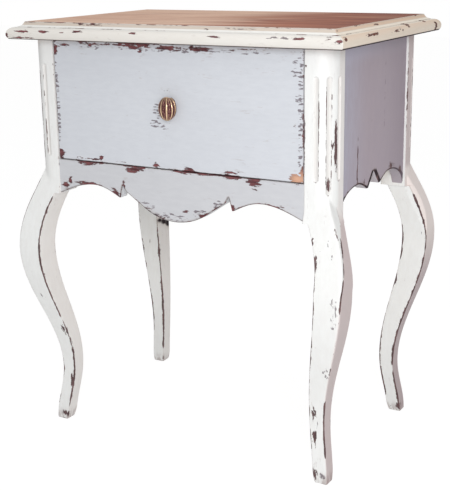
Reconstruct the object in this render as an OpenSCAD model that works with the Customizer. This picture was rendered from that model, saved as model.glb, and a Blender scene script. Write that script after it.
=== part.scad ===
// Bedside table in the Louis XV manner: four cabriole legs, each in one piece with its stile,
// scalloped front apron and side panels, a moulded top and one deep drawer on wooden runners.
// Millimetres, +Z up, front towards -Y, origin on the floor under the middle of the top.

/* [Overall] */
// Height from the floor to the wood of the top
height = 700; // [640:5:760]
// Width over the outer faces of the stiles
body_w = 540; // [480:5:620]
// Depth over the outer faces of the stiles
body_d = 340; // [300:5:400]

/* [Legs] */
// Side of the square stile
stile = 44; // [40:1:50]
// Radius of the stile's rounded outer corner
corner_r = 28; // [20:1:30]
// Height at which the square stile ends and only the curved leg goes on
stile_foot = 419; // [410:1:425]
// Height at which the knee leaves the face of the stile
knee_root = 438; // [430:1:442]
// Height of the knee's widest point
knee_z = 322; // [310:1:340]
// How far the knee stands out beyond the stile
knee_out = 30; // [20:0.5:34]
// How much less the upper knee swings out to the front
knee_lean = 4.2; // [0:0.2:6]
// Share of that by which it swings out more to the side
lean_share = 0.6; // [0:0.1:1]
// How much the arris towards the side panel is eased off in the upper knee
side_ease = 8.5; // [2:0.5:12]
// Height over which that grows, up from the knee's widest point
side_ease_h = 80; // [50:5:90]
// Height of the ankle
ankle_z = 98; // [85:1:115]
// How far the ankle's outer face lies inside the stile's outer face
ankle_in = 14.5; // [8:0.5:20]
// How far the sole's outer edge lies inside the stile's outer face
foot_in = 4; // [0:0.5:8]
// Side of the square sole
sole = 21; // [18:0.5:24]
// Height over which the foot swells from the sole to the ankle's girth
toe_h = 20; // [12:1:30]
// Side of the leg's square section at the ankle
ankle_girth = 24.5; // [22:0.5:30]
// Height up to which the leg stays as slim as at the ankle
calf_z = 60; // [40:5:80]
// How far below the knee's widest point the leg has grown to the stile's full side
thigh_drop = 2; // [0:1:40]

/* [Flutes] */
// Width of a flute
flute_w = 8.5; // [6:0.5:10]
// Depth of a flute
flute_depth = 2.8; // [1.5:0.1:4]
// Angle between neighbouring flutes round the corner, in degrees
flute_pitch = 39.5; // [34:0.5:42]
// Distance of the flutes' upper ends below the top's underside
flute_drop = 40; // [30:1:60]
// Height of the lower ends of the outer flutes
flute_end = 481; // [475:1:500]
// How much lower the middle flute runs
flute_extra = 19; // [0:1:22]

/* [Top] */
// Thickness of the top
top_t = 27; // [22:1:32]
// How far the moulded edge overhangs the stiles
overhang = 28; // [24:1:34]
// Width of the moulded edge
edge_w = 23; // [20:0.5:26]
// Fall of the edge's cove from the wood to its step
cove_fall = 8; // [6:0.5:9]
// Width of the cove
cove_w = 9.3; // [8:0.1:10]
// Depth of the cove's hollow under a straight line from its top to its foot
cove_hollow = 1.6; // [0.5:0.1:2.5]
// Flat left between the wood and the cove, and step between the fillet and the bullnose
quirk = 0.5; // [0.3:0.1:1]
// Width of the flat fillet between the cove and the bullnose
fillet_w = 3; // [2:0.1:4]
// Length of the tongue that joins the top to its edges
tongue_l = 7; // [4:0.5:9]
// Thickness of that tongue
tongue_t = 7; // [5:0.5:8]
// How far that tongue lies below the middle of the top's thickness
tongue_drop = 3; // [0:0.5:4]

/* [Front apron] */
// Thickness of the front apron
apron_t = 20; // [18:1:24]
// How far the apron and the drawer front lie behind the face of the stiles
front_set = 1; // [0:0.5:3]
// Height of the apron's upper edge, on which the drawer opening stands
rail_top = 476.5; // [472:0.5:480]
// Height of the lowest point of the middle lobe
lobe_z = 393.5; // [388:0.5:400]
// Radius of the lobe's round bottom
lobe_r = 105; // [95:1:112]
// Slope of the lobe's straight flanks, in degrees
lobe_slope = 33.5; // [30:0.5:35]
// Distance of the two notches from the middle
notch_x = 98.5; // [95:0.5:102]
// Height of the notches
notch_z = 444; // [440:0.5:450]
// Width over which the lobe's flank turns up into a notch
notch_in = 10.5; // [8:0.5:14]
// How sharply it turns up
notch_turn = 1.6; // [1:0.1:2]
// Width over which the notch comes down again to the point beside it
notch_out = 5.5; // [3:0.5:8]
// Height of the points beside the notches
point_z = 423; // [420:0.5:428]
// Width of the points' blunt ends
point_w = 2.5; // [1:0.5:4]
// Distance of the crown of the outer arches from the middle
arch_x = 155; // [145:1:165]
// Height of that crown
arch_z = 439; // [434:0.5:444]

/* [Side panels] */
// Thickness of the side panels
side_t = 20; // [16:1:22]
// How far the side panels lie behind the face of the stiles
side_set = 4.5; // [2:0.5:8]
// Height of the side panel's middle notch
side_notch_z = 470; // [465:0.5:472]
// Distance of the points beside that notch from the middle
side_point_y = 22; // [18:0.5:26]
// Height of those points
side_point_z = 445.5; // [440:0.5:450]
// Width of their blunt ends
side_point_w = 4; // [1:0.5:6]
// Distance of the crown of the side arches from the middle
side_arch_y = 64; // [56:1:72]
// Height of that crown
side_arch_z = 458.5; // [452:0.5:462]
// Height at which the side arches meet the stiles
side_end_z = 424; // [422:0.5:430]

/* [Back] */
// Thickness of the back panel
back_t = 12; // [9:0.5:16]
// How far the back panel lies inside the face of the stiles
back_set = 6; // [3:0.5:9]
// Height of the back panel's straight lower edge
back_foot = 440; // [430:1:450]

/* [Joinery] */
// Thickness of the tongues on the apron and the panels
tenon_t = 7; // [5:0.5:8]
// Length of the tongues on the apron and the panels
tenon_l = 12; // [8:0.5:14]
// How far a tongue's end lies inside the edge of its board
tenon_inset = 10; // [8:1:14]
// Clearance of a glued tongue or screw in its groove or hole, each side
glue_gap = 0.1; // [0.05:0.05:0.2]

/* [Runners] */
// Thickness of the runners, guides and kickers
strip_t = 18; // [14:0.5:20]
// How far the runners and kickers reach under and over the drawer's sides
strip_reach = 20; // [16:1:26]
// Side gap between the drawer and its guides
guide_gap = 0.8; // [0.5:0.1:1.2]
// Running gap between the drawer's sides and the runners
slide_gap = 0.3; // [0.2:0.05:0.6]
// Gap between the drawer's sides and the kickers
kicker_gap = 0.6; // [0.3:0.1:1.5]
// Length of a drawer stop
stop_l = 15; // [10:1:20]

/* [Glue blocks] */
// Side of the triangular glue blocks in the corners
block_w = 20; // [14:1:26]
// Height of the glue blocks
block_h = 24; // [16:1:36]

/* [Drawer] */
// Thickness of the drawer front
front_t = 20; // [18:0.5:24]
// Gap round the drawer front
front_gap = 1.5; // [1:0.1:2.5]
// Thickness of the drawer's sides
drawer_side_t = 12; // [10:0.5:14]
// Thickness of the drawer's back
drawer_back_t = 12; // [9:0.5:14]
// Thickness of the drawer's bottom
bottom_t = 5; // [4:0.5:6]
// Height of the bottom's groove above the lower edge of the sides
bottom_rise = 13; // [10:0.5:16]
// Depth of the bottom's groove
groove = 5; // [3:0.5:6]
// How much lower the drawer's back is than its sides
back_drop = 12; // [6:1:30]
// How far the drawer's sides run on behind its back
side_overrun = 3; // [0:1:10]
// Number of dovetails at each front corner
tails = 4; // [3:1:6]
// Share of their spacing that the dovetails take up at their narrow ends
tail_share = 0.56; // [0.4:0.02:0.6]
// Length of the dovetails
tail_l = 15; // [12:0.5:16]
// How much each side of a dovetail flares over its length
tail_flare = 2.5; // [1.5:0.5:3.5]

/* [Knob] */
// Width of the oval knob
knob_w = 28; // [24:0.5:32]
// Height of the oval knob
knob_h = 36.5; // [32:0.5:42]
// How far the knob stands out from the drawer front
knob_out = 23; // [22:0.5:28]
// Depth of the knob's ribbed body, front to back
knob_d = 20; // [16:0.5:21]
// Number of ribs round the knob
knob_ribs = 16; // [10:1:20]
// Depth of the hollows between the ribs
rib_depth = 1.4; // [0.8:0.1:2]
// Radius of the knob's neck
neck_r = 6; // [5:0.5:8]
// Width of the oval rose at the foot of the neck
rose_w = 18; // [16:0.5:22]
// Height of the rose
rose_h = 31; // [26:0.5:34]
// Thickness of the rose
rose_t = 2.5; // [1.5:0.5:4]
// Radius of the screw that holds the knob
knob_screw_r = 2; // [1.5:0.25:2.5]
// How deep that screw goes into the knob
knob_screw_in = 12; // [8:1:14]
// Radius of that screw's flat head
pan_head_r = 4; // [3:0.25:5]
// Thickness of that screw's flat head
pan_head_t = 2.4; // [1.5:0.1:3]

/* [Screws] */
// Radius of a wood screw's shank
screw_r = 2; // [1.5:0.25:2.5]
// Radius of a wood screw's countersunk head
screw_head_r = 4; // [3:0.25:4.5]
// Height of a wood screw's countersunk head
screw_head_h = 2.6; // [1.5:0.1:3.5]
// How deep a wood screw bites into the piece that it holds
screw_bite = 12; // [10:1:15]
// Distance of the outer screws from the ends of the kickers and guides
screw_inset = 25; // [15:1:40]
// Distance of the outer screws of the drawer's bottom from the drawer's sides
bottom_screw_inset = 52; // [30:1:80]

/* [Hidden] */

cream = "#ebe6dc";
greyblue = "#c9cfd8";
topwood = "#a9745c";
rawwood = "#c8a273";
ply = "#d2b48a";
brass = "#8f6b35";
steel = "#9a9a98";

// Steps along a curve, how far cuts run past a face and joined solids overlap, and a length that
// goes right through any piece
arc_steps = 10;
lap = 1;
far = body_w + body_d;
$fn = 32;

half_w = body_w / 2;
half_d = body_d / 2;
top_under = height - top_t;

// The drawer opening lies between the stiles, and the drawer runs between its guides.
opening_half = half_w - stile;
drawer_half = opening_half - front_gap;
drawer_in = drawer_half - drawer_side_t;
front_face = -half_d + front_set;
front_back = front_face + front_t;
apron_back = front_face + apron_t;
panel_outer = half_w - side_set;
panel_inner = panel_outer - side_t;
back_outer = half_d - back_set;
back_inner = back_outer - back_t;
stile_back_y = half_d - stile;

// Heights inside the carcass
side_foot = rail_top + slide_gap;
kicker_under = top_under - strip_t;
side_top = kicker_under - kicker_gap;
bottom_z = side_foot + bottom_rise;
front_foot = rail_top + front_gap;
front_top = top_under - front_gap;
knob_z = (front_foot + front_top) / 2;
strip_in = opening_half - strip_reach;
guide_in = drawer_half + guide_gap;
drawer_end = back_inner - stop_l - slide_gap;
back_y = drawer_end - drawer_back_t - side_overrun;

// ---------------------------------------------------------------- Curves
// ease() rises smoothly from 0 to 1 as t goes from 0 to 1.
function ease(t) = (1 - cos(180 * t)) / 2;

// rise() goes from p up to the crown q, level at q, and fall() comes down from q to p the same way.
function rise(p, q) =
    [for (i = [0:arc_steps]) let (t = i / arc_steps)
        [p[0] + (q[0] - p[0]) * t, p[1] + (q[1] - p[1]) * sin(90 * t)]];
function fall(q, p) = [for (i = [arc_steps - 1:-1:0]) rise(p, q)[i]];

// drop() comes down from the crown q to p along a quarter of an ellipse, upright at p.
function drop(q, p) =
    [for (i = [1:arc_steps]) let (a = 90 * i / arc_steps)
        [q[0] + (p[0] - q[0]) * sin(a), p[1] + (q[1] - p[1]) * cos(a)]];

// Both halves of a symmetrical edge, from the half that starts on the middle line
function both_halves(half) =
    concat([for (i = [len(half) - 1:-1:1]) [-half[i][0], half[i][1]]], half);

// ---------------------------------------------------------------- Legs
// sway() is where the leg's outer face lies, measured outwards from the stile's face: it goes in
// from the toe to the ankle, swings out to the knee and runs back up into the stile.
function sway(z) =
    z < ankle_z ? -foot_in - (ankle_in - foot_in) * ease(z / ankle_z) :
    z < knee_z ? -ankle_in + (knee_out + ankle_in) * ease((z - ankle_z) / (knee_z - ankle_z)) :
    knee_out * cos(90 * (z - knee_z) / (knee_root - knee_z));

// girth() is the side of the leg's square section.
thigh_z = knee_z - thigh_drop;
function girth(z) =
    z < toe_h ? sole + (ankle_girth - sole) * sin(90 * z / toe_h) :
    z < calf_z ? ankle_girth :
    z < thigh_z ? ankle_girth + (stile - ankle_girth) * ease((z - calf_z) / (thigh_z - calf_z)) :
    stile;

// lean() is what the upper knee lacks to the front. Its outer faces are then side_sway() to the
// side and front_sway() to the front.
function lean(z) =
    z < knee_z || z > knee_root ? 0 : knee_lean * sin(180 * (z - knee_z) / (knee_root - knee_z));
function side_sway(z) = sway(z) + lean_share * lean(z);
function front_sway(z) = sway(z) - lean(z);

// The arris towards the side panel is cut by a face across the section's corner. That face starts
// outside the leg and comes in above the knee's widest point.
function eased(z) = (side_ease + lap) * ease(min(1, max(0, (z - knee_z) / side_ease_h))) - lap;

// The sharp knee corner dies out where it meets the rounded corner of the stile.
corner_cut = corner_r * (1 - cos(45));
knee_top = knee_root + (knee_root - knee_z) * asin(min(1, corner_cut / knee_out)) / 90;
toe_steps = 4;
leg_steps = 38;
leg_z = concat(
    [for (i = [0:toe_steps - 1]) toe_h * i / toe_steps],
    [for (i = [0:leg_steps]) toe_h + (knee_top - toe_h) * i / leg_steps]
);
side_outline = concat(
    [for (z = leg_z) [side_sway(z), z]],
    [for (i = [len(leg_z) - 1:-1:0]) let (z = leg_z[i]) [max(side_sway(z) - girth(z), -stile), z]]
);
front_outline = concat(
    [for (z = leg_z) [front_sway(z), z]],
    [for (i = [len(leg_z) - 1:-1:0]) let (z = leg_z[i]) [max(front_sway(z) - girth(z), -stile), z]]
);
eased_outline = concat(
    [[-far, -lap], [(girth(0) + lap) / sqrt(2), -lap]],
    [for (z = leg_z) [(girth(z) - eased(z)) / sqrt(2), z]],
    [[(stile - side_ease) / sqrt(2), knee_top + lap], [-far, knee_top + lap]]
);

// Plan of the stile, its outer corner at the origin
module stile_plan() {
    translate([-stile, -stile]) square([stile - corner_r, stile]);
    translate([-stile, -stile]) square([stile, stile - corner_r]);
    translate([-corner_r, -corner_r])
        intersection() {
            circle(corner_r, $fn = 96);
            square(corner_r);
        }
}

// A flute is the trough of a round rod with ball ends.
rod_r = (pow(flute_w / 2, 2) + pow(flute_depth, 2)) / (2 * flute_depth);
rod_place = corner_r + rod_r - flute_depth;
module flute(angle, low, high) {
    translate([rod_place * sin(angle) - corner_r, rod_place * cos(angle) - corner_r, low + rod_r]) {
        cylinder(r = rod_r, h = high - low - 2 * rod_r);
        sphere(rod_r);
        translate([0, 0, high - low - 2 * rod_r]) sphere(rod_r);
    }
}

// Leg with its outer corner at the origin, growing towards -X and -Y
module leg_blank() {
    difference() {
        union() {
            intersection() {
                rotate([90, 0, 0])
                    linear_extrude(far, center = true) polygon(side_outline);
                rotate([90, 0, 90])
                    linear_extrude(far, center = true) polygon(front_outline);
                rotate([90, 0, -45])
                    linear_extrude(far, center = true) polygon(eased_outline);
            }
            translate([0, 0, stile_foot]) linear_extrude(top_under - stile_foot) stile_plan();
        }
        for (side = [-1, 0, 1])
            flute(45 + side * flute_pitch, flute_end - (side == 0 ? flute_extra : 0),
                top_under - flute_drop);
    }
}

// A groove in the stile for a tongue whose middle lies at v, along Y or along X, from z0 to z1
module groove_y(v, z0, z1) {
    translate([v - tenon_t / 2 - glue_gap, -stile - lap, z0 - glue_gap])
        cube([tenon_t + 2 * glue_gap, tenon_l + glue_gap + lap, z1 - z0 + 2 * glue_gap]);
}
module groove_x(v, z0, z1) {
    translate([-stile - lap, v - tenon_t / 2 - glue_gap, z0 - glue_gap])
        cube([tenon_l + glue_gap + lap, tenon_t + 2 * glue_gap, z1 - z0 + 2 * glue_gap]);
}

module leg(sx, sy) {
    color(cream)
    translate([sx * half_w, sy * half_d, 0])
    mirror([sx < 0 ? 1 : 0, 0, 0]) mirror([0, sy < 0 ? 1 : 0, 0])
    difference() {
        leg_blank();
        groove_y(-side_set - side_t / 2, side_tenon_z, top_under);
        if (sy < 0)
            groove_x(-front_set - apron_t / 2, apron_tenon_z[0], apron_tenon_z[1]);
        else
            groove_x(-back_set - back_t / 2, back_tenon_z, top_under);
    }
}

// ---------------------------------------------------------------- Front apron
lobe_end = [lobe_r * sin(lobe_slope), lobe_z + lobe_r * (1 - cos(lobe_slope))];
cusp_x = notch_x - notch_in;
cusp_z = lobe_end[1] + (cusp_x - lobe_end[0]) * tan(lobe_slope);
point_x = notch_x + notch_out;
apron_half = concat(
    // round bottom of the lobe
    [for (i = [0:arc_steps]) let (a = lobe_slope * i / arc_steps)
        [lobe_r * sin(a), lobe_z + lobe_r * (1 - cos(a))]],
    // its straight flank turns up into the notch
    [for (i = [0:arc_steps]) let (t = i / arc_steps)
        [cusp_x + notch_in * t, cusp_z + (notch_z - cusp_z) * pow(t, notch_turn)]],
    // point beside the notch, then the arch up to its crown and down to the stile
    [[point_x, point_z]],
    rise([point_x + point_w, point_z], [arch_x, arch_z]),
    fall([arch_x, arch_z], [opening_half, stile_foot])
);
apron_tenon_z = [stile_foot + tenon_inset, rail_top - tenon_inset];

module front_apron() {
    color(greyblue) {
        translate([0, apron_back, 0]) rotate([90, 0, 0]) linear_extrude(apron_t)
            polygon(concat(both_halves(apron_half),
                [[opening_half, rail_top], [-opening_half, rail_top]]));
        for (x = [-opening_half - tenon_l, opening_half - lap])
            translate([x, front_face + (apron_t - tenon_t) / 2, apron_tenon_z[0]])
                cube([tenon_l + lap, tenon_t, apron_tenon_z[1] - apron_tenon_z[0]]);
    }
}

// ---------------------------------------------------------------- Side and back panels
side_half = concat(
    [[0, side_notch_z], [side_point_y, side_point_z]],
    rise([side_point_y + side_point_w, side_point_z], [side_arch_y, side_arch_z]),
    drop([side_arch_y, side_arch_z], [stile_back_y, side_end_z])
);
side_tenon_z = side_end_z + tenon_inset;

module side_panel(sx) {
    middle_x = sx * (panel_outer + panel_inner) / 2;
    color(greyblue) {
        translate([middle_x - side_t / 2, 0, 0])
            rotate([90, 0, 90]) linear_extrude(side_t)
                polygon(concat(both_halves(side_half),
                    [[stile_back_y, top_under], [-stile_back_y, top_under]]));
        for (y = [-stile_back_y - tenon_l, stile_back_y - lap])
            translate([middle_x - tenon_t / 2, y, side_tenon_z])
                cube([tenon_t, tenon_l + lap, top_under - side_tenon_z]);
    }
}

back_tenon_z = back_foot + tenon_inset;
module back_panel() {
    color(rawwood) {
        translate([-opening_half, back_inner, back_foot])
            cube([2 * opening_half, back_t, top_under - back_foot]);
        translate([-opening_half - tenon_l, back_inner + (back_t - tenon_t) / 2, back_tenon_z])
            cube([2 * (opening_half + tenon_l), tenon_t, top_under - back_tenon_z]);
    }
}

// ---------------------------------------------------------------- Top
wood_x = half_w + overhang - edge_w;
wood_y = half_d + overhang - edge_w;
tongue_z = top_under + (top_t - tongue_t) / 2 - tongue_drop;

// Section of the moulded edge, drawn outwards from the wood's edge and upwards from its underside
step_z = top_t - cove_fall;
nose_top = step_z - quirk;
nose_r = min(edge_w - cove_w - fillet_w, nose_top);
nose_c = [edge_w - nose_r, nose_top - nose_r];
nose_low = -asin(min(1, nose_c[1] / nose_r));
cove_foot = [cove_w, step_z];
cove_head = [quirk, top_t - quirk];
cove_in = cove_hollow / norm(cove_head - cove_foot);
edge_section = concat(
    [[0, 0]],
    [for (i = [0:arc_steps]) let (a = nose_low + (90 - nose_low) * i / arc_steps)
        nose_c + nose_r * [cos(a), sin(a)]],
    [[cove_w, nose_top]],
    [for (i = [0:arc_steps]) let (t = i / arc_steps)
        cove_foot + (cove_head - cove_foot) * t
        + cove_in * sin(180 * t) * [cove_foot[1] - cove_head[1], cove_head[0] - cove_foot[0]]],
    [[0, top_t]]
);

module top_panel() {
    color(topwood)
    difference() {
        union() {
            translate([-wood_x, -wood_y, top_under]) cube([2 * wood_x, 2 * wood_y, top_t]);
            translate([-wood_x - tongue_l, -wood_y - tongue_l, tongue_z])
                cube([2 * (wood_x + tongue_l), 2 * (wood_y + tongue_l), tongue_t]);
        }
        top_screw_set(glue_gap);
    }
}

// Plan of one edge strip along +X, its inner edge on y = 0, mitred at both ends
module mitre_plan(length) {
    polygon([[-length / 2, 0], [-length / 2 - edge_w, -edge_w],
        [length / 2 + edge_w, -edge_w], [length / 2, 0]]);
}

// One edge strip along +X, at the distance out from the middle, its section outwards to -Y
module edge_strip(length, out) {
    translate([0, -out, 0])
    intersection() {
        difference() {
            translate([-length / 2 - edge_w, 0, top_under]) rotate([90, 0, 90])
                linear_extrude(length + 2 * edge_w)
                    polygon([for (p = edge_section) [-p[0], p[1]]]);
            translate([-length / 2 - edge_w, -tongue_l - glue_gap, tongue_z - glue_gap])
                cube([length + 2 * edge_w, tongue_l + glue_gap + lap, tongue_t + 2 * glue_gap]);
        }
        translate([0, 0, top_under - lap]) linear_extrude(top_t + 2 * lap) mitre_plan(length);
    }
}

module edge_front() { color(cream) edge_strip(2 * wood_x, wood_y); }
module edge_back() { color(cream) rotate(180) edge_strip(2 * wood_x, wood_y); }
module edge_right() { color(cream) rotate(90) edge_strip(2 * wood_y, wood_x); }
module edge_left() { color(cream) rotate(-90) edge_strip(2 * wood_y, wood_x); }

// ---------------------------------------------------------------- Runners, guides and kickers
// A strip between the side panel and the distance x_in from the middle, from stile to stile
module strip(sx, x_in, z) {
    translate([sx > 0 ? x_in : -panel_inner, -stile_back_y, z])
        cube([panel_inner - x_in, 2 * stile_back_y, strip_t]);
}

module kicker(sx) {
    color(rawwood)
    difference() {
        strip(sx, strip_in, kicker_under);
        top_screw_set(glue_gap);
    }
}

module runner(sx) {
    color(rawwood)
    difference() {
        union() {
            strip(sx, strip_in, rail_top - strip_t);
            translate([sx > 0 ? strip_in : -opening_half, apron_back, rail_top - strip_t])
                cube([strip_reach, back_inner - apron_back, strip_t]);
        }
        guide_screw_set(glue_gap);
    }
}

module guide(sx) {
    color(rawwood)
    difference() {
        strip(sx, guide_in, rail_top);
        guide_screw_set(glue_gap);
    }
}

module drawer_stops() {
    color(rawwood)
    for (sx = [-1, 1])
        translate([sx > 0 ? strip_in : -drawer_half, back_inner - stop_l, rail_top])
            cube([drawer_half - strip_in, stop_l, strip_t]);
}

module corner_blocks() {
    color(rawwood)
    for (sx = [-1, 1])
        translate([sx * opening_half, 0, rail_top - strip_t - block_h]) {
            translate([0, apron_back, 0]) linear_extrude(block_h)
                polygon([[0, 0], [-sx * block_w, 0], [0, block_w]]);
            translate([0, back_inner, 0]) linear_extrude(block_h)
                polygon([[0, 0], [-sx * block_w, 0], [0, -block_w]]);
        }
}

// ---------------------------------------------------------------- Screws
// Countersunk wood screw, head up at the origin, shank down; grow opens the same form for its hole.
module wood_screw(length, grow = 0) {
    translate([0, 0, -screw_head_h])
        cylinder(r1 = screw_r + grow, r2 = screw_head_r + grow, h = screw_head_h);
    translate([0, 0, -length - grow])
        cylinder(r = screw_r + grow, h = length + grow - screw_head_h / 2);
    if (grow > 0) cylinder(r = screw_head_r + grow, h = lap);
}

// Up through the kickers into the top
top_screw_x = (strip_in + panel_inner) / 2;
module top_screw_set(grow = 0) {
    for (sx = [-1, 1], sy = [-1, 0, 1])
        translate([sx * top_screw_x, sy * (stile_back_y - screw_inset), kicker_under])
            mirror([0, 0, 1]) wood_screw(strip_t + screw_bite, grow);
}

// Down through the guides into the runners
guide_screw_x = (guide_in + panel_inner) / 2;
module guide_screw_set(grow = 0) {
    for (sx = [-1, 1], sy = [-1, 0, 1])
        translate([sx * guide_screw_x, sy * (stile_back_y - screw_inset), rail_top + strip_t])
            wood_screw(strip_t + screw_bite, grow);
}

// Up through the drawer's bottom into its back
bottom_screw_x = drawer_in - bottom_screw_inset;
module bottom_screw_set(grow = 0) {
    for (sx = [-1, 0, 1])
        translate([sx * bottom_screw_x, back_y + drawer_back_t / 2, bottom_z])
            mirror([0, 0, 1]) wood_screw(bottom_t + screw_bite, grow);
}

module top_screws() { color(steel) top_screw_set(); }
module guide_screws() { color(steel) guide_screw_set(); }
module bottom_screws() { color(steel) bottom_screw_set(); }

// ---------------------------------------------------------------- Drawer
// Dovetails on the front end of a drawer side; grow opens the same form for the sockets, which run
// out through the ends of the drawer front.
module dovetails(sx, grow = 0) {
    pitch = (side_top - side_foot) / tails;
    waist = pitch * tail_share / 2 + grow;
    depth = tail_l + grow;
    out = grow > 0 ? lap : 0;
    for (i = [0:tails - 1])
        translate([sx > 0 ? drawer_in - grow : -drawer_half - out, front_back,
            side_foot + pitch * (i + 0.5)])
            rotate([90, 0, 90]) linear_extrude(drawer_side_t + grow + out)
                polygon([[lap, -waist], [0, -waist], [-depth, -waist - tail_flare],
                    [-depth, waist + tail_flare], [0, waist], [lap, waist]]);
}

// The bottom slides in a groove round the front and the sides.
module bottom_groove() {
    translate([-drawer_in - groove, front_back - groove - glue_gap, bottom_z - glue_gap])
        cube([2 * (drawer_in + groove), far, bottom_t + 2 * glue_gap]);
}

module drawer_front() {
    color(greyblue)
    difference() {
        translate([-drawer_half, front_face, front_foot])
            cube([2 * drawer_half, front_t, front_top - front_foot]);
        dovetails(-1, glue_gap);
        dovetails(1, glue_gap);
        bottom_groove();
        translate([0, front_face - lap, knob_z]) rotate([-90, 0, 0])
            cylinder(r = knob_screw_r + glue_gap, h = front_t + 2 * lap);
    }
}

module drawer_side(sx) {
    color(rawwood)
    difference() {
        union() {
            translate([sx > 0 ? drawer_in : -drawer_half, front_back, side_foot])
                cube([drawer_side_t, drawer_end - front_back, side_top - side_foot]);
            dovetails(sx);
        }
        bottom_groove();
        // housing for the back
        translate([-drawer_in - groove, back_y - glue_gap, bottom_z])
            cube([2 * (drawer_in + groove), drawer_back_t + 2 * glue_gap, side_top - bottom_z + lap]);
    }
}

module drawer_back() {
    color(rawwood)
    difference() {
        translate([glue_gap - drawer_in - groove, back_y, bottom_z + bottom_t])
            cube([2 * (drawer_in + groove - glue_gap), drawer_back_t,
                side_top - back_drop - bottom_z - bottom_t]);
        bottom_screw_set(glue_gap);
    }
}

module drawer_bottom() {
    color(ply)
    difference() {
        translate([glue_gap - drawer_in - groove, front_back - groove, bottom_z])
            cube([2 * (drawer_in + groove - glue_gap), back_y + drawer_back_t - front_back + groove,
                bottom_t]);
        bottom_screw_set(glue_gap);
    }
}

// ---------------------------------------------------------------- Knob
// The body is an oval melon: upright ribs run from pole to pole, swelling on the outside of an
// ellipsoid, and a hollow between two of them faces the front. Rings of points go from the lower
// pole to the upper one.
melon_rings = 18;
melon_sides = knob_ribs * 4;
melon_y = front_face - knob_out + knob_d / 2;
function melon_point(lat, lon) =
    let (swell = 1 - 2 * rib_depth / knob_w * cos(lat) * (1 - abs(sin((lon + 90) * knob_ribs / 2))))
    [knob_w / 2 * cos(lat) * cos(lon) * swell, melon_y + knob_d / 2 * cos(lat) * sin(lon) * swell,
        knob_z + knob_h / 2 * sin(lat)];
melon_points = concat(
    [[0, melon_y, knob_z - knob_h / 2]],
    [for (i = [1:melon_rings - 1], j = [0:melon_sides - 1])
        melon_point(180 * i / melon_rings - 90, 360 * j / melon_sides)],
    [[0, melon_y, knob_z + knob_h / 2]]
);
function ring(i, j) = 1 + (i - 1) * melon_sides + j % melon_sides;
melon_top = 1 + (melon_rings - 1) * melon_sides;
melon_faces = concat(
    [for (j = [0:melon_sides - 1]) [0, ring(1, j), ring(1, j + 1)]],
    [for (i = [1:melon_rings - 2], j = [0:melon_sides - 1])
        each [[ring(i, j), ring(i + 1, j), ring(i, j + 1)],
            [ring(i + 1, j), ring(i + 1, j + 1), ring(i, j + 1)]]],
    [for (j = [0:melon_sides - 1])
        [melon_top, ring(melon_rings - 1, j + 1), ring(melon_rings - 1, j)]]
);

module knob() {
    color(brass)
    difference() {
        union() {
            polyhedron(melon_points, melon_faces);
            translate([0, melon_y, knob_z]) rotate([-90, 0, 0])
                cylinder(r = neck_r, h = front_face - melon_y);
            translate([0, front_face, knob_z]) rotate([90, 0, 0])
                linear_extrude(rose_t) scale([rose_w / rose_h, 1]) circle(rose_h / 2, $fn = 48);
        }
        translate([0, front_face + lap, knob_z]) rotate([90, 0, 0])
            cylinder(r = knob_screw_r + glue_gap, h = knob_screw_in + lap + glue_gap);
    }
}

module knob_screw() {
    color(steel)
    translate([0, front_back, knob_z]) rotate([90, 0, 0]) {
        cylinder(r = knob_screw_r, h = front_t + knob_screw_in);
        translate([0, 0, -pan_head_t]) cylinder(r = pan_head_r, h = pan_head_t);
    }
}

leg(-1, -1);  // leg_front_left
leg(1, -1);  // leg_front_right
leg(-1, 1);  // leg_back_left
leg(1, 1);  // leg_back_right
front_apron();
side_panel(-1);  // side_panel_left
side_panel(1);  // side_panel_right
back_panel();
top_panel();
edge_front();
edge_back();
edge_left();
edge_right();
kicker(-1);  // kicker_left
kicker(1);  // kicker_right
runner(-1);  // runner_left
runner(1);  // runner_right
guide(-1);  // guide_left
guide(1);  // guide_right
drawer_stops();
corner_blocks();
top_screws();
guide_screws();
drawer_front();
drawer_side(-1);  // drawer_side_left
drawer_side(1);  // drawer_side_right
drawer_back();
drawer_bottom();
bottom_screws();
knob();
knob_screw();
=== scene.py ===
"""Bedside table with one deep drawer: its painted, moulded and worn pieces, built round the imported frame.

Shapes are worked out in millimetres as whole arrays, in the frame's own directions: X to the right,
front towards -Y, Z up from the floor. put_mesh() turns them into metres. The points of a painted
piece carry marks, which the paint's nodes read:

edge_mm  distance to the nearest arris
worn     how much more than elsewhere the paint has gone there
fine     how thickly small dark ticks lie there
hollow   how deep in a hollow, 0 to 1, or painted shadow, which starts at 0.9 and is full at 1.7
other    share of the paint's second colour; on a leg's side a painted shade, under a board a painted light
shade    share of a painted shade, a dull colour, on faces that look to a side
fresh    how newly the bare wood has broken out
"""

import math
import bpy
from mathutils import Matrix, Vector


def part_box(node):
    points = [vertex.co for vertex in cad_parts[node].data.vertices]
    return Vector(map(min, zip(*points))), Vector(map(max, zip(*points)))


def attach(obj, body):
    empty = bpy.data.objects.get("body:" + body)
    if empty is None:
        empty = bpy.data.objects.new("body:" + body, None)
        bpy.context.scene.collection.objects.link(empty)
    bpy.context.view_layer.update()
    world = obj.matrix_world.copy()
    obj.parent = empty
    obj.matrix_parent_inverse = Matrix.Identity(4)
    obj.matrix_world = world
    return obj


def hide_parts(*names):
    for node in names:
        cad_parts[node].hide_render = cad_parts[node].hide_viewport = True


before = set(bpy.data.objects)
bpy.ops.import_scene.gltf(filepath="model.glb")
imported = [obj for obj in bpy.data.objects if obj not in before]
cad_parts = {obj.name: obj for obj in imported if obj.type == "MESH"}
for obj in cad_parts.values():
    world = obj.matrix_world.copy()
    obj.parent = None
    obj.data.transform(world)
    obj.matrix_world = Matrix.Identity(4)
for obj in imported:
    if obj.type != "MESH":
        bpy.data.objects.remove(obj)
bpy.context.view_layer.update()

from types import SimpleNamespace

import bmesh
import bpy
import numpy as np
from mathutils import Matrix

MM = 0.001


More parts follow.
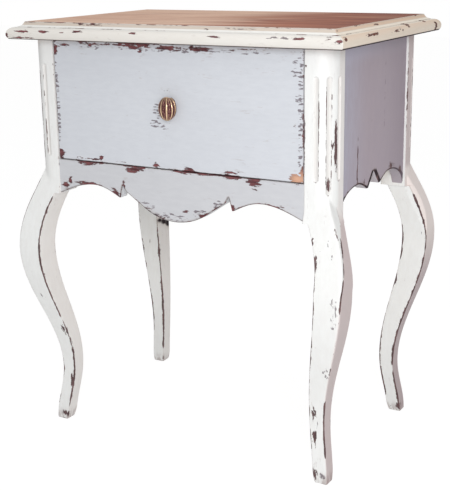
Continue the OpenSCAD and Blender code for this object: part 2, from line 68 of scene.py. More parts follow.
def box(node):
    """Lowest and highest corner of a CAD node, in millimetres."""
    low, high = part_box(node)
    return np.array(low) / MM, np.array(high) / MM


# ---------------------------------------------------------------- Sizes, in millimetres
# Stiles: their outer faces from the middle, their side and their rounded corner
HALF_W, HALF_D, STILE = 270, 170, 44
CORNER_R = 28

# Legs: heights, how far they swing out and in, how the knee leans, and girth
STILE_FOOT, KNEE_ROOT, KNEE_Z, ANKLE_Z, CALF_Z, TOE_H = 419, 438, 322, 98, 60, 20
KNEE_OUT, ANKLE_IN, FOOT_IN = 29.95, 14.5, 4
KNEE_LEAN, LEAN_SHARE, SIDE_EASE, SIDE_EASE_H = 4.2, 0.6, 8.5, 80
SOLE, ANKLE_GIRTH, THIGH_DROP = 21, 24.5, 2

# Flutes: width, depth, pitch in degrees and how far they end from the top and the floor
FLUTE_W, FLUTE_DEPTH, FLUTE_PITCH = 8.5, 2.8, 39.5
FLUTE_DROP, FLUTE_END, FLUTE_EXTRA = 40, 481, 19

# Top: overhang and width of its moulded edge, and the edge's cove, fillet and quirk
OVERHANG, EDGE_W = 28, 23
COVE_W, COVE_FALL, COVE_HOLLOW, FILLET_W, QUIRK = 9.3, 8, 1.6, 3, 0.5

# Lower edge of the apron and of the side panels: lobe, notch, point and arch
LOBE_Z, LOBE_R, LOBE_SLOPE = 393.5, 105, math.radians(33.5)
NOTCH_X, NOTCH_Z, NOTCH_IN, NOTCH_TURN, NOTCH_OUT = 98.5, 444, 10.5, 1.6, 5.5
POINT_Z, POINT_W, ARCH_X, ARCH_Z = 423, 2.5, 155, 439
SIDE_NOTCH_Z, SIDE_POINT_Y, SIDE_POINT_Z, SIDE_POINT_W = 470, 22, 445.5, 4
SIDE_ARCH_Y, SIDE_ARCH_Z, SIDE_END_Z = 64, 458.5, 424

# Knob: its ribbed head, neck and rose
KNOB_W, KNOB_H, KNOB_D, KNOB_OUT = 28, 36.5, 20, 23
NECK_R, ROSE_W, ROSE_H, ROSE_T = 6, 18, 31, 2.5

# Places that the frame gives, and what follows from them
HEIGHT = box("top_panel")[1][2]
TOP_UNDER = box("top_panel")[0][2]
STEP_Z = HEIGHT - TOP_UNDER - COVE_FALL
DRAWER_LOW, DRAWER_HIGH = box("drawer_front")
OPENING_HALF = HALF_W - STILE
STILE_BACK_Y = HALF_D - STILE
WOOD_X = HALF_W + OVERHANG - EDGE_W
WOOD_Y = HALF_D + OVERHANG - EDGE_W
KNOB_Z = (DRAWER_LOW[2] + DRAWER_HIGH[2]) / 2

# Rounding of arrises and of the sole's rim, how closely points lie on painted faces, and a distance
# that no wear reaches
ARRIS, SOLE_ROUND = 1.6, 1.2
FINE = 2.5
FAR = 50.0

# A leg's outer corner is a square rounded with this power, and its swell fades into the stile at
# this slope. No chamfer and no face beside it is narrower than these.
SHARPNESS, STILE_SWELL = 24, 1.3
LEAST_FLAT, LEAST_FACE = 0.3, 1.5

# The side's colour, a painted shade: how strong it is on faces that look inwards, over how many degrees
# it ends on the outer corner, and on a front leg at which heights it ends at which angles. A share of it
# fades out between two heights of a front leg, and another in every flute, most of all in its trough.
INWARD, TURN_SPREAD = 0.3, 8
COLOUR_TURN = [300, 330, 360, 380, 400, 415, 438, 450], [45, 42, 39, 37.5, 34, 23, 15, 7]
STILE_FAINT, FAINT_LOW, FAINT_HIGH, FLUTE_FAINT = 0.6, 415, 440, 0.8

# Worn flute lips: strength, width, and the heights where they start, are full, fade and end. Worn
# lines along an arris: half width, and the length over which they end.
LIP_WEAR, LIP_REACH, LIP_HEIGHTS = 0.69, 0.9, (470, 490, 590, 650)
LINE_REACH, LINE_END = 1.9, 9

# The hollow mark that a painted shadow spot of full strength gives, which is more than a full painted shadow
SHADOW_SPOT_HOLLOW = 2.2


# ---------------------------------------------------------------- Building a mesh
def grid_faces(rows, cols, closed_rows=False, closed_cols=False):
    """Quads between neighbouring points of a grid numbered row by row; a closed side joins its last
    row or column to its first."""
    r = np.arange(rows if closed_rows else rows - 1)[:, None]
    c = np.arange(cols if closed_cols else cols - 1)[None, :]
    below, right = (r + 1) % rows, (c + 1) % cols
    quads = [r * cols + c, r * cols + right, below * cols + right, below * cols + c]
    return np.stack([q + 0 * r + 0 * c for q in quads], axis=-1).reshape(-1, 4)


def put_mesh(name, parts, body, node, sharp=32.0):
    """One piece from a list of (points, faces, marks): its doubles are merged, open ends are closed
    with flat faces, faces turned outwards, and edges that turn by more than sharp degrees kept hard."""
    points = np.concatenate([p for p, f, m in parts]) * MM
    shift = np.cumsum([0] + [len(p) for p, f, m in parts])
    faces = np.concatenate([f + s for (p, f, m), s in zip(parts, shift)])
    mesh = bpy.data.meshes.new(name)
    mesh.from_pydata(points.tolist(), [], faces.tolist())
    for mark in sorted({key for p, f, m in parts for key in m}):
        values = np.concatenate([np.broadcast_to(m.get(mark, 0.0), len(p)) for p, f, m in parts])
        mesh.attributes.new(mark, "FLOAT", "POINT").data.foreach_set("value", values.astype(np.float32))
    shell = bmesh.new()
    shell.from_mesh(mesh)
    bmesh.ops.remove_doubles(shell, verts=shell.verts, dist=1e-6)
    bmesh.ops.dissolve_degenerate(shell, edges=shell.edges, dist=1e-7)
    bmesh.ops.holes_fill(shell, edges=[e for e in shell.edges if e.is_boundary], sides=0)
    bmesh.ops.recalc_face_normals(shell, faces=shell.faces)
    shell.to_mesh(mesh)
    shell.free()
    mesh.shade_smooth()
    mesh.set_sharp_from_angle(angle=math.radians(sharp))
    piece = bpy.data.objects.new(name, mesh)
    bpy.context.scene.collection.objects.link(piece)
    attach(piece, body)
    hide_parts(node)
    return piece


def blots(points, spots, power=1):
    """How worn each point is: a soft oval hump for each spot, flatter on top for a higher power. A
    spot is a row of its place, then its half sizes, then its strength; points and places have two or
    three coordinates."""
    worn = np.zeros(len(points))
    ways = points.shape[1]
    for spot in spots:
        place, half, strength = spot[:ways], spot[ways:2 * ways], spot[-1]
        away = ((points - np.array(place)) / np.array(half)) ** 2
        worn = np.maximum(worn, strength * np.exp(-away.sum(axis=1) ** power))
    return worn


def wear_marks(points, spots):
    """Chips where the spots are strong, and only fine dark ticks where they are weaker than a half."""
    strong = [spot for spot in spots if spot[-1] >= 0.5]
    weak = [spot for spot in spots if spot[-1] < 0.5]
    return {"worn": blots(points, strong), "fine": blots(points, weak, 3)}


def ease(t):
    """Rises smoothly from 0 to 1 as t goes from 0 to 1: half a cosine wave."""
    return (1 - np.cos(np.pi * np.clip(t, 0, 1))) / 2


def turned(points, quarters):
    """The points turned round Z by that many quarter turns, anticlockwise as seen from above."""
    turn = np.pi / 2 * quarters
    cos, sin = round(math.cos(turn)), round(math.sin(turn))
    x, y, z = points.T
    return np.stack([cos * x - sin * y, sin * x + cos * y, z], axis=1)


# ---------------------------------------------------------------- Legs
def sway(z):
    """Where the leg's outer face lies outwards of the stile's face: in from the toe to the ankle,
    out to the knee and back up into the stile, each a half or quarter cosine wave."""
    foot = -FOOT_IN - (ANKLE_IN - FOOT_IN) * ease(z / ANKLE_Z)
    shin = -ANKLE_IN + (KNEE_OUT + ANKLE_IN) * ease((z - ANKLE_Z) / (KNEE_Z - ANKLE_Z))
    knee = KNEE_OUT * np.cos(np.pi / 2 * np.clip((z - KNEE_Z) / (KNEE_ROOT - KNEE_Z), 0, 2))
    return np.where(z < ANKLE_Z, foot, np.where(z < KNEE_Z, shin, knee))


def sways(z):
    """sway() of the face towards the side and of the face towards the front: half a sine wave over
    the upper knee adds to the one and takes more from the other."""
    lean = KNEE_LEAN * np.sin(np.pi * np.clip((z - KNEE_Z) / (KNEE_ROOT - KNEE_Z), 0, 1))
    return sway(z) + LEAN_SHARE * lean, sway(z) - lean


def girth(z):
    """Side of the leg's square section: it swells from the sole, stays slim and grows to the stile."""
    toe = SOLE + (ANKLE_GIRTH - SOLE) * np.sin(np.pi / 2 * np.clip(z / TOE_H, 0, 1))
    thigh = (STILE - ANKLE_GIRTH) * ease((z - CALF_Z) / (KNEE_Z - THIGH_DROP - CALF_Z))
    return toe + thigh


def flute_floor(angle, z):
    """Distance from the stile's rounding centre to the nearest flute's trough, along a ray at that
    angle: the near side of a round rod with ball ends. Where no flute lies it is infinite. Also the
    distance along the surface to the flute's lip."""
    rod = ((FLUTE_W / 2) ** 2 + FLUTE_DEPTH ** 2) / (2 * FLUTE_DEPTH)
    place = CORNER_R + rod - FLUTE_DEPTH
    floor = np.full(np.broadcast(angle, z).shape, np.inf)
    lip = np.full(floor.shape, FAR)
    for side in (-1, 0, 1):
        low = FLUTE_END - (FLUTE_EXTRA if side == 0 else 0) + rod
        high = TOP_UNDER - FLUTE_DROP - rod
        past = np.maximum(np.maximum(low - z, z - high), 0)
        turn = angle - math.radians(45 + side * FLUTE_PITCH)
        inside = rod ** 2 - past ** 2 - (place * np.sin(turn)) ** 2
        reach = place * np.cos(turn) - np.sqrt(np.maximum(inside, 0))
        floor = np.where(inside > 0, np.minimum(floor, reach), floor)
        across = np.abs(turn) * CORNER_R
        lip = np.minimum(lip, np.abs(np.hypot(across, past * FLUTE_W / 2 / rod) - FLUTE_W / 2))
    return floor, lip


def leg_plan(z):
    """Where the leg's faces stand at each height in z, measured outwards from the stile's two faces:
    out and inner are the outer and the inner faces, each towards the side and towards the front, or
    on a back leg the back.
    base is the side's face beside the panel, cut the chamfer there, which eased widens on the knee,
    and ray and centre are those of the outer corner."""
    stile = z >= STILE_FOOT
    both = np.stack(sways(z))
    out = np.where(stile, np.maximum(both, 0), both)
    eased = SIDE_EASE * ease((z - KNEE_Z) / SIDE_EASE_H)
    least = (2 - math.sqrt(2)) * ARRIS + LEAST_FLAT
    cut = np.where(stile, least, np.maximum(eased + both[0] - both[1], least))
    foot_r = CORNER_R + sway(np.array(float(STILE_FOOT)))
    ray = np.where(stile, CORNER_R + np.maximum(both, 1 - CORNER_R),
                   np.minimum(foot_r * girth(z) / STILE, girth(z) - cut - LEAST_FACE))
    return SimpleNamespace(
        z=z, stile=stile, out=out, inner=np.where(stile, -STILE, np.maximum(both - girth(z), -STILE)),
        base=np.where(stile, 0, out[0]), eased=eased, cut=cut, ray=ray,
        centre=np.where(stile, -CORNER_R, out - ray))


def outer_corner(plan):
    """The outer corner on rays from a centre inside it, which meet the farther of the sharp knee and
    the rounded stile, or a flute. Gives the rays' angles, the points, their distance to a flute's lip
    and their depth in a flute."""
    angle = np.linspace(0, np.pi / 2, 67)[None, :]
    way = np.stack([np.cos(angle), np.sin(angle)])
    square = (way ** SHARPNESS).sum(axis=0) ** (-1 / SHARPNESS)
    far = plan.ray[:, :, None] * square * way
    sharp = np.hypot(*far)
    stile = plan.stile[:, None]
    reach = np.maximum(sharp, CORNER_R * stile)
    floor, lip = flute_floor(angle, plan.z[:, None])
    fluted = stile & (floor < reach)
    hollow = np.where(fluted, reach - floor, 0)
    corner = plan.centre[:, :, None] + far * np.where(fluted, floor, reach) / sharp
    return angle, corner, np.where(stile, lip, FAR), hollow


def leg_outline(plan, corner):
    """The whole section, u towards the side and v towards the front, or on a back leg the back: the
    outer corner, and from there straight faces and small round arrises all the way round, up to the
    chamfer beside the panel and the side's face. Each stretch after the corner also says how far it
    looks to the side. The chamfer's points lie closest in its middle, where its worn line runs."""
    (out_u, out_v), (in_u, in_v), (mid_u, mid_v) = plan.out, plan.inner, plan.centre
    round_in = plan.cut + (math.sqrt(2) - 1) * ARRIS

    def straight(a, b, steps):
        """Points from a towards b, without either end."""
        t = np.arange(1, steps)[None, :] / steps
        return a[:, None] * (1 - t) + b[:, None] * t

    def level(a, count):
        """The same place for each point of a straight face."""
        return np.repeat(a[:, None], count, axis=1)

    def arris(au, av, start, steps=5, sweep=np.pi / 2):
        """An arc of the arris's radius round (au, av), turning left from the start angle."""
        a = start + np.linspace(0, sweep, steps)[None, :]
        return au[:, None] + ARRIS * np.cos(a), av[:, None] + ARRIS * np.sin(a)

    low_end = arris(plan.base - round_in, in_v + ARRIS, -np.pi / 2, 3, np.pi / 4)
    high_end = arris(plan.base - ARRIS, in_v + round_in, -np.pi / 4, 3, np.pi / 4)
    share = np.array([[0.34, 0.44, 0.5, 0.56, 0.66]])
    between = [a[:, -1:] * (1 - share) + b[:, :1] * share for a, b in zip(low_end, high_end)]
    back = straight(in_v + round_in, mid_v, 9)
    rounding = np.clip(STILE_SWELL * (back - (plan.eased - STILE)[:, None]), 0, out_u[:, None])
    knee_side = np.where(plan.stile[:, None], rounding, out_u[:, None])
    weak = INWARD * np.linspace(0, 1, 5)
    stretches = [
        (straight(mid_u, in_u + ARRIS, 9), level(out_v, 8), 0),
        (*arris(in_u + ARRIS, out_v - ARRIS, np.pi / 2), weak),
        (level(in_u, 7), straight(out_v - ARRIS, in_v + ARRIS, 8), INWARD),
        (*arris(in_u + ARRIS, in_v + ARRIS, np.pi), weak[::-1]),
        (straight(in_u + ARRIS, plan.base - round_in, 8), level(in_v, 7), 0),
        (*low_end, 0), (*between, [0, 0, 1, 1, 1]), (*high_end, 1), (knee_side, back, 1)]
    u, v = [np.concatenate([corner[k], *(s[k] for s in stretches)], axis=1) for k in (0, 1)]
    return u, v, np.concatenate([np.broadcast_to(s[2], s[0].shape[1]) for s in stretches])


def arris_distances(plan, u, v, turn):
    """Distance of each point from each arris: outer is the knee's own, ridge lies on it where the
    side's colour ends, side is beside the panel, front at the inner end of the face to the front or
    back, and inner looks to the table's middle."""
    (out_u, out_v), (in_u, in_v) = plan.out, plan.inner
    above = np.where(plan.z < KNEE_ROOT + 8, 0, FAR)[:, None]

    def away(a, b):
        return np.hypot(u - a[:, None], v - b[:, None])

    return {
        "outer": away(out_u, out_v) + above, "side": away(plan.base - plan.cut / 2, in_v + plan.cut / 2),
        "ridge": away(out_u, out_v - (1 - np.tan(np.radians(turn))) * plan.ray[1]) + above,
        "front": away(in_u, out_v), "inner": away(in_u, in_v)}


def leg_section(z, front):
    """The leg's sections at each height in z: the points' places outwards from the stile's two faces,
    their distances to the arrises and to a flute's lip, their depth in a flute, and how far they look
    to the side. On a front leg the side's colour, a painted shade, draws back from the corner as it goes
    up the knee, and is faint on the stile."""
    plan = leg_plan(z)
    angle, corner, lip, hollow = outer_corner(plan)
    u, v, looks = leg_outline(plan, corner)
    rest = np.zeros((len(z), len(looks)))
    lip = np.concatenate([lip, rest + FAR], axis=1)
    hollow = np.concatenate([hollow, rest], axis=1)
    turn = np.interp(z, *COLOUR_TURN) if front else np.full(len(z), 45.0)
    round_corner = ease((turn[:, None] - np.degrees(angle)) / TURN_SPREAD + 0.5)
    sideways = np.concatenate([round_corner, rest + looks], axis=1)
    faint = STILE_FAINT * ease((z - FAINT_LOW) / (FAINT_HIGH - FAINT_LOW)) if front else 0 * z
    sideways *= (1 - faint)[:, None] * (1 - FLUTE_FAINT * hollow / FLUTE_DEPTH)
    return u, v, arris_distances(plan, u, v, turn), lip, hollow, sideways


def worn_lines(corners, lip, z, lines):
    """Wear along the arrises: for each line (lowest, highest, strength) of an arris a narrow ridge
    that is strongest on it and ends softly. The flutes' lips are worn thinly over their middle."""
    low, full, fading, high = LIP_HEIGHTS
    along = ease((z - low) / (full - low)) * ease((high - z) / (high - fading))
    worn = LIP_WEAR * np.clip(1 - lip / LIP_REACH, 0, 1) * along[:, None]
    for arris, rows in lines.items():
        near = np.clip(1.5 - corners[arris] / LINE_REACH, 0, 1)
        for low, high, strength in rows:
            along = ease((z - low) / LINE_END) * ease((high - z) / LINE_END)
            worn = np.maximum(worn, strength * along[:, None] * near)
    return worn


def leg_heights():
    """Heights of a leg's sections: runs (from, to, step) that lie close on the toe and over the ends
    of the flutes, and single ones at the sole, the stile's foot and the top."""
    low_flute, high_flute = FLUTE_END - FLUTE_EXTRA - 4, TOP_UNDER - FLUTE_DROP
    runs = (
        (2, TOE_H, 2), (TOE_H, STILE_FOOT - 4, 4), (STILE_FOOT + 3, low_flute, 3),
        (low_flute, FLUTE_END + 10, 1), (FLUTE_END + 10, high_flute - 10, 9),
        (high_flute - 10, high_flute + 3, 1), (high_flute + 3, TOP_UNDER, 6))
    single = [0, 0.5, SOLE_ROUND, STILE_FOOT - 1, STILE_FOOT - 0.02, STILE_FOOT, STILE_FOOT + 1, TOP_UNDER]
    return np.unique(np.concatenate([single, *(np.arange(*run) for run in runs)]))


def leg(name, sx, sy, lines, spots, shadow_spots, shade):
    """One leg and stile, at the corner towards sx and sy, each 1 or -1: the sections of leg_section()
    stacked from the sole, whose rim is rounded, to under the top. Its face to the side has the share
    of painted shade that shade() gives each height, and painted shadows lie in the spots of shadow_spots."""
    z = leg_heights()
    u, v, corners, lip, hollow, sideways = leg_section(z, sy < 0)
    tuck = SOLE_ROUND - np.sqrt(SOLE_ROUND ** 2 - np.maximum(SOLE_ROUND - z, 0) ** 2)[:, None]
    u, v = [w - np.sign(w + FOOT_IN + SOLE / 2) * tuck for w in (u, v)]
    tall = np.repeat(z[:, None], u.shape[1], axis=1)
    points = np.stack([sx * (HALF_W + u), sy * (HALF_D + v), tall], axis=-1).reshape(-1, 3)
    # Painted shade: the side's colour and the shade mark on faces that look to a side. Painted shadow: the
    # shadow spots, as hollow marks above 0.9
    marks = {
        "edge_mm": np.minimum.reduce([*corners.values(), lip + 0.8, tall]).ravel(),
        "hollow": np.maximum(hollow.ravel() / FLUTE_DEPTH, SHADOW_SPOT_HOLLOW * blots(points, shadow_spots)),
        "other": sideways.ravel(),
        "shade": (np.maximum(sideways - INWARD, 0) / (1 - INWARD) * shade(z)[:, None]).ravel(),
        **wear_marks(points, spots)}
    marks["worn"] = np.maximum(marks["worn"], worn_lines(corners, lip, z, lines).ravel())
    faces = grid_faces(len(z), u.shape[1], closed_cols=True)
    return put_mesh(name, [(points, faces, marks)], "carcass", name)


# ---------------------------------------------------------------- Boards with a shaped lower edge
def rise(p, q, steps):
    """From p up to the crown q along a quarter sine wave that is level at q."""
    t = np.linspace(0, 1, steps)
    return np.stack([p[0] + (q[0] - p[0]) * t, p[1] + (q[1] - p[1]) * np.sin(np.pi / 2 * t)], axis=1)


def drop(q, p, steps):
    """From the crown q down to p along a quarter ellipse that is upright at p."""
    a = np.linspace(0, np.pi / 2, steps)
    return np.stack([q[0] + (p[0] - q[0]) * np.sin(a), p[1] + (q[1] - p[1]) * np.cos(a)], axis=1)


def both_halves(half):
    """A symmetrical edge, from the half that starts on the middle line."""
    return np.concatenate([half[:0:-1] * [-1, 1], half])


def spaced(line, step):
    """The same line with more points, none further apart than step."""
    counts = np.maximum(np.ceil(np.hypot(*np.diff(line, axis=0).T) / step).astype(int), 1)
    start = np.repeat(np.arange(len(counts)), counts)
    t = np.concatenate([np.arange(n) / n for n in counts])[:, None]
    inside = line[start] * (1 - t) + line[start + 1] * t
    return np.concatenate([inside, line[-1:]])


def inward(line):
    """Unit directions into the board at each point of its lower edge, halving each corner."""
    step = np.diff(line, axis=0)
    side = np.stack([-step[:, 1], step[:, 0]], axis=1) / np.hypot(*step.T)[:, None]
    both = np.concatenate([side[:1], side[:-1] + side[1:], side[-1:]])
    return both / np.hypot(*both.T)[:, None]


def edge_distance(points, line, reach=40.0):
    """Distance of each point from a broken line, both in two directions, no more than reach."""
    a, b = line[:-1], line[1:]
    run = b - a
    best = np.full(len(points), reach)
    for start, way in zip(a, run):
        t = np.clip(((points - start) @ way) / (way @ way), 0, 1)
        best = np.minimum(best, np.hypot(*(points - start - t[:, None] * way).T))
    return best


def shaped_board(line, top, front, back, rows):
    """A board whose lower edge follows the line (along, height). Each column of points goes down the
    front face, round the arris, under the edge, round the back arris and up the back face."""
    into = inward(line)
    share = np.linspace(1, 0, rows)[:, None, None]
    upper = np.stack([line[:, 0], np.full(len(line), top)], 1)
    face = (line + into * ARRIS)[None] * (1 - share) + upper[None] * share
    turn = np.linspace(0, np.pi / 2, 5)[1:]
    lift = ARRIS * (1 - np.sin(turn))[:, None, None]
    rounded = line[None] + into[None] * lift
    depth_turn = ARRIS * (1 - np.cos(turn))
    under = np.repeat(line[None], 3, axis=0)
    flat = np.concatenate([face, rounded, under, rounded[::-1], face[::-1]])
    deep = np.concatenate([
        np.full(rows, front), front + depth_turn, np.linspace(front + ARRIS, back - ARRIS, 5)[1:-1],
        back - depth_turn[::-1], np.full(rows, back)])
    return flat, np.repeat(deep[:, None], len(line), axis=1)


def board(name, quarters, line, rows, spots, edge_shadow=0.0, flanks=1.0, shadow_spots=()):
    """A shaped board as deep and high as its node, turned by quarter turns to its side of the table.
    A painted shadow lies as strongly as edge_shadow along the lower edge of its face, wider on steep flanks
    where flanks is less than 1, and painted shadows lie in the spots of the list shadow_spots. Its underside
    has the paint's second colour, a painted light."""
    ends = turned(np.stack(box(name)), -quarters)
    front, back = np.sort(ends[:, 1])
    top = ends[1, 2]
    flat, deep = shaped_board(line, top, front, back, rows)
    flat, deep = flat.reshape(-1, 2), deep.ravel()
    points = turned(np.stack([flat[:, 0], deep, flat[:, 1]], axis=1), quarters)
    faces = grid_faces(len(deep) // len(line), len(line), closed_rows=True)
    in_from_face = np.minimum(deep - front, back - deep)
    low = edge_distance(flat, line)
    rim = np.minimum(np.hypot(low, in_from_face), np.hypot(flat[:, 1] - top, in_from_face))
    # Painted light: the underside takes the paint's lighter second colour
    under = ease((low < 0.1) * in_from_face / ARRIS)
    shown = (deep < front + ARRIS).astype(float)
    low_rim = np.clip((3.0 - edge_distance(flat * [flanks, 1], line * [flanks, 1])) / 0.8, 0, 1)
    # Painted shadow along the face's lower edge and in the shadow spots, as hollow marks
    marks = {
        "edge_mm": rim, "other": under * (1 - 0.5 * low_rim),
        "hollow": np.maximum(edge_shadow * low_rim, SHADOW_SPOT_HOLLOW * blots(flat, shadow_spots)) * shown}
    marks.update({key: mark * shown for key, mark in wear_marks(flat, spots).items()})
    return put_mesh(name, [(points, faces, marks)], "carcass", name)


def apron_edge():
    """Lower edge of the front apron: a round lobe with straight flanks, two notches with points
    beside them, and two outer arches that come down on the stiles."""
    a = np.linspace(0, LOBE_SLOPE, 24)
    lobe = np.stack([LOBE_R * np.sin(a), LOBE_Z + LOBE_R * (1 - np.cos(a))], axis=1)
    cusp_x = NOTCH_X - NOTCH_IN
    cusp_z = lobe[-1, 1] + (cusp_x - lobe[-1, 0]) * math.tan(LOBE_SLOPE)
    t = np.linspace(0, 1, 12)
    flank = np.stack([cusp_x + NOTCH_IN * t, cusp_z + (NOTCH_Z - cusp_z) * t ** NOTCH_TURN], axis=1)
    point_x = NOTCH_X + NOTCH_OUT
    arch = rise((point_x + POINT_W, POINT_Z), (ARCH_X, ARCH_Z), 20)
    down = rise((OPENING_HALF, STILE_FOOT), (ARCH_X, ARCH_Z), 24)[-2::-1]
    return both_halves(np.concatenate([lobe, flank, [[point_x, POINT_Z]], arch, down]))


def side_edge():
    """Lower edge of a side panel: a pointed notch in the middle, and an arch on either side of it
    that drops steeply at the stile."""
    arch = rise((SIDE_POINT_Y + SIDE_POINT_W, SIDE_POINT_Z), (SIDE_ARCH_Y, SIDE_ARCH_Z), 16)
    down = drop((SIDE_ARCH_Y, SIDE_ARCH_Z), (STILE_BACK_Y, SIDE_END_Z), 24)[1:]
    return both_halves(np.concatenate([[[0, SIDE_NOTCH_Z], [SIDE_POINT_Y, SIDE_POINT_Z]], arch, down]))


# ---------------------------------------------------------------- Drawer front
def drawer_front_face(spots):
    """A slab with rounded front arrises: over the front the depth follows a ball-ended quarter
    circle near the rim, and the walls run back from it."""
    low, high = DRAWER_LOW, DRAWER_HIGH
    inset = 0.15
    x0, x1 = low[0] + inset, high[0] - inset
    z0, z1 = low[2], high[2]
    bend = ARRIS * (1 - np.cos(np.linspace(0, np.pi / 2, 6)))
    x = np.concatenate([x0 + bend, np.arange(x0 + ARRIS + FINE, x1 - ARRIS, FINE), x1 - bend[::-1]])
    z = np.concatenate([z0 + bend, np.arange(z0 + ARRIS + FINE, z1 - ARRIS, FINE), z1 - bend[::-1]])
    gx, gz = np.meshgrid(x, z)
    qx = np.minimum(gx - x0, x1 - gx)
    qz = np.minimum(gz - z0, z1 - gz)
    over = np.maximum(ARRIS - qx, 0) ** 2 + np.maximum(ARRIS - qz, 0) ** 2
    gy = low[1] + ARRIS - np.sqrt(np.maximum(ARRIS ** 2 - over, 0))
    points = np.stack([gx, gy, gz], axis=-1).reshape(-1, 3)
    rim = np.concatenate([
        np.stack([x, np.full(len(x), z0)], 1)[:-1], np.stack([np.full(len(z), x1), z], 1)[:-1],
        np.stack([x, np.full(len(x), z1)], 1)[:0:-1], np.stack([np.full(len(z), x0), z], 1)[:0:-1]])
    depths = np.array([low[1] + ARRIS, high[1]])
    wall = np.stack([
        np.tile(rim[:, 0], 2), np.repeat(depths, len(rim)), np.tile(rim[:, 1], 2)], axis=-1)
    flat = points[:, [0, 2]]
    face = (points, grid_faces(len(z), len(x)), {
        "edge_mm": np.minimum(qx, qz).ravel(), "fresh": blots(flat, FRESH_SPOTS), **wear_marks(flat, spots)})
    sides = (wall, grid_faces(2, len(rim), closed_cols=True), {"edge_mm": wall[:, 1] - low[1]})
    return put_mesh("drawer_front_board", [face, sides], "drawer", "drawer_front")


# ---------------------------------------------------------------- Moulded edge of the top
def edge_profile():
    """Section of the moulding, outwards from the wood and upwards from its underside: the underside,
    a bullnose, a step to a flat fillet, and a shallow cove up to the wood."""
    top = HEIGHT - TOP_UNDER
    nose_top = STEP_Z - QUIRK
    nose_r = EDGE_W - COVE_W - FILLET_W
    centre = np.array([EDGE_W - nose_r, nose_top - nose_r])
    a = np.linspace(-math.asin(min(1, centre[1] / nose_r)), np.pi / 2, 28)
    nose = centre + nose_r * np.stack([np.cos(a), np.sin(a)], axis=1)
    foot, head = np.array([COVE_W, STEP_Z]), np.array([QUIRK, top - QUIRK])
    t = np.linspace(0, 1, 22)[:, None]
    normal = np.array([foot[1] - head[1], head[0] - foot[0]]) / np.hypot(*(head - foot))
    cove = foot + (head - foot) * t + COVE_HOLLOW * np.sin(np.pi * t) * normal
    soft = 0.4
    corners = np.array([[COVE_W + soft, nose_top], [COVE_W, nose_top + QUIRK / 2]])
    under = np.stack([np.linspace(0, nose[0, 0] - 1.5, 5), np.zeros(5)], axis=1)
    return np.concatenate([under, nose, corners, cove, [[0, top]]])


def edge_strip(name, quarters, spots, half, out, shadow_rim, crease_shade, tan):
    """The profile carried along one side of the top, at out from the middle. Inside it reaches half to
    either end, and outside farther, so that its ends are mitred. It is turned by quarter turns to its
    side. A painted shadow lies up to the height shadow_rim on its lower edge, and painted shade as strong
    as crease_shade in the creases on both sides of a light line over the nose, whose top is tanned by
    tan, a painted warm shade on the side mouldings."""
    profile = spaced(edge_profile(), 2.2)
    steps = int(2 * half / FINE)
    light_line, fillet_end, nose_worn = STEP_Z + 2.7, COVE_W + FILLET_W, [21.5, 12.5]
    along = np.linspace(-1, 1, steps)[None, :] * (half + profile[:, :1])
    far = np.repeat(profile[:, 0], steps)
    high = np.repeat(profile[:, 1], steps)
    flat = np.stack([along.ravel(), -(out + far), TOP_UNDER + high], axis=1)
    arrises = np.array([
        [COVE_W, STEP_Z], [fillet_end, STEP_Z - QUIRK], [QUIRK, STEP_Z + COVE_FALL - QUIRK], nose_worn])
    farther = np.array([0, 0.5, 0, 1.5])
    here = np.stack([far, high], axis=1)
    edge = (np.hypot(*(here[:, None, :] - arrises[None]).transpose(2, 0, 1)) + farther).min(axis=1)
    # Painted shade in the creases and a painted shadow on the lower arris, as hollow marks
    low_crease_shade = np.clip(1.4 - np.hypot(far - fillet_end, high - STEP_Z + QUIRK) / 0.8, 0, 1)
    high_crease_shade = 0.85 * np.clip(1.3 - np.abs(high - light_line) / 0.5, 0, 1)
    under_rim_shadow = 2.0 * np.clip((shadow_rim - high) / 1.2, 0, 1)
    cove = np.clip((high - light_line) * 2, 0, 1) * np.clip(far, 0, 1)
    # On the side mouldings tan adds a painted warm shade to the nose's top
    nose = (0.3 + tan * np.clip((high - 10) / 7, 0, 1)) * np.clip((STEP_Z - 0.8 - high) * 2, 0, 1)
    marks = {
        "edge_mm": edge, "hollow": np.maximum(under_rim_shadow, crease_shade * np.maximum(low_crease_shade, high_crease_shade)),
        "other": np.maximum(cove, nose), **wear_marks(flat[:, [0, 2]], spots)}
    parts = [(turned(flat, quarters), grid_faces(len(profile), steps, closed_rows=True), marks)]
    return put_mesh(name + "_moulding", parts, "carcass", name, 28.0)


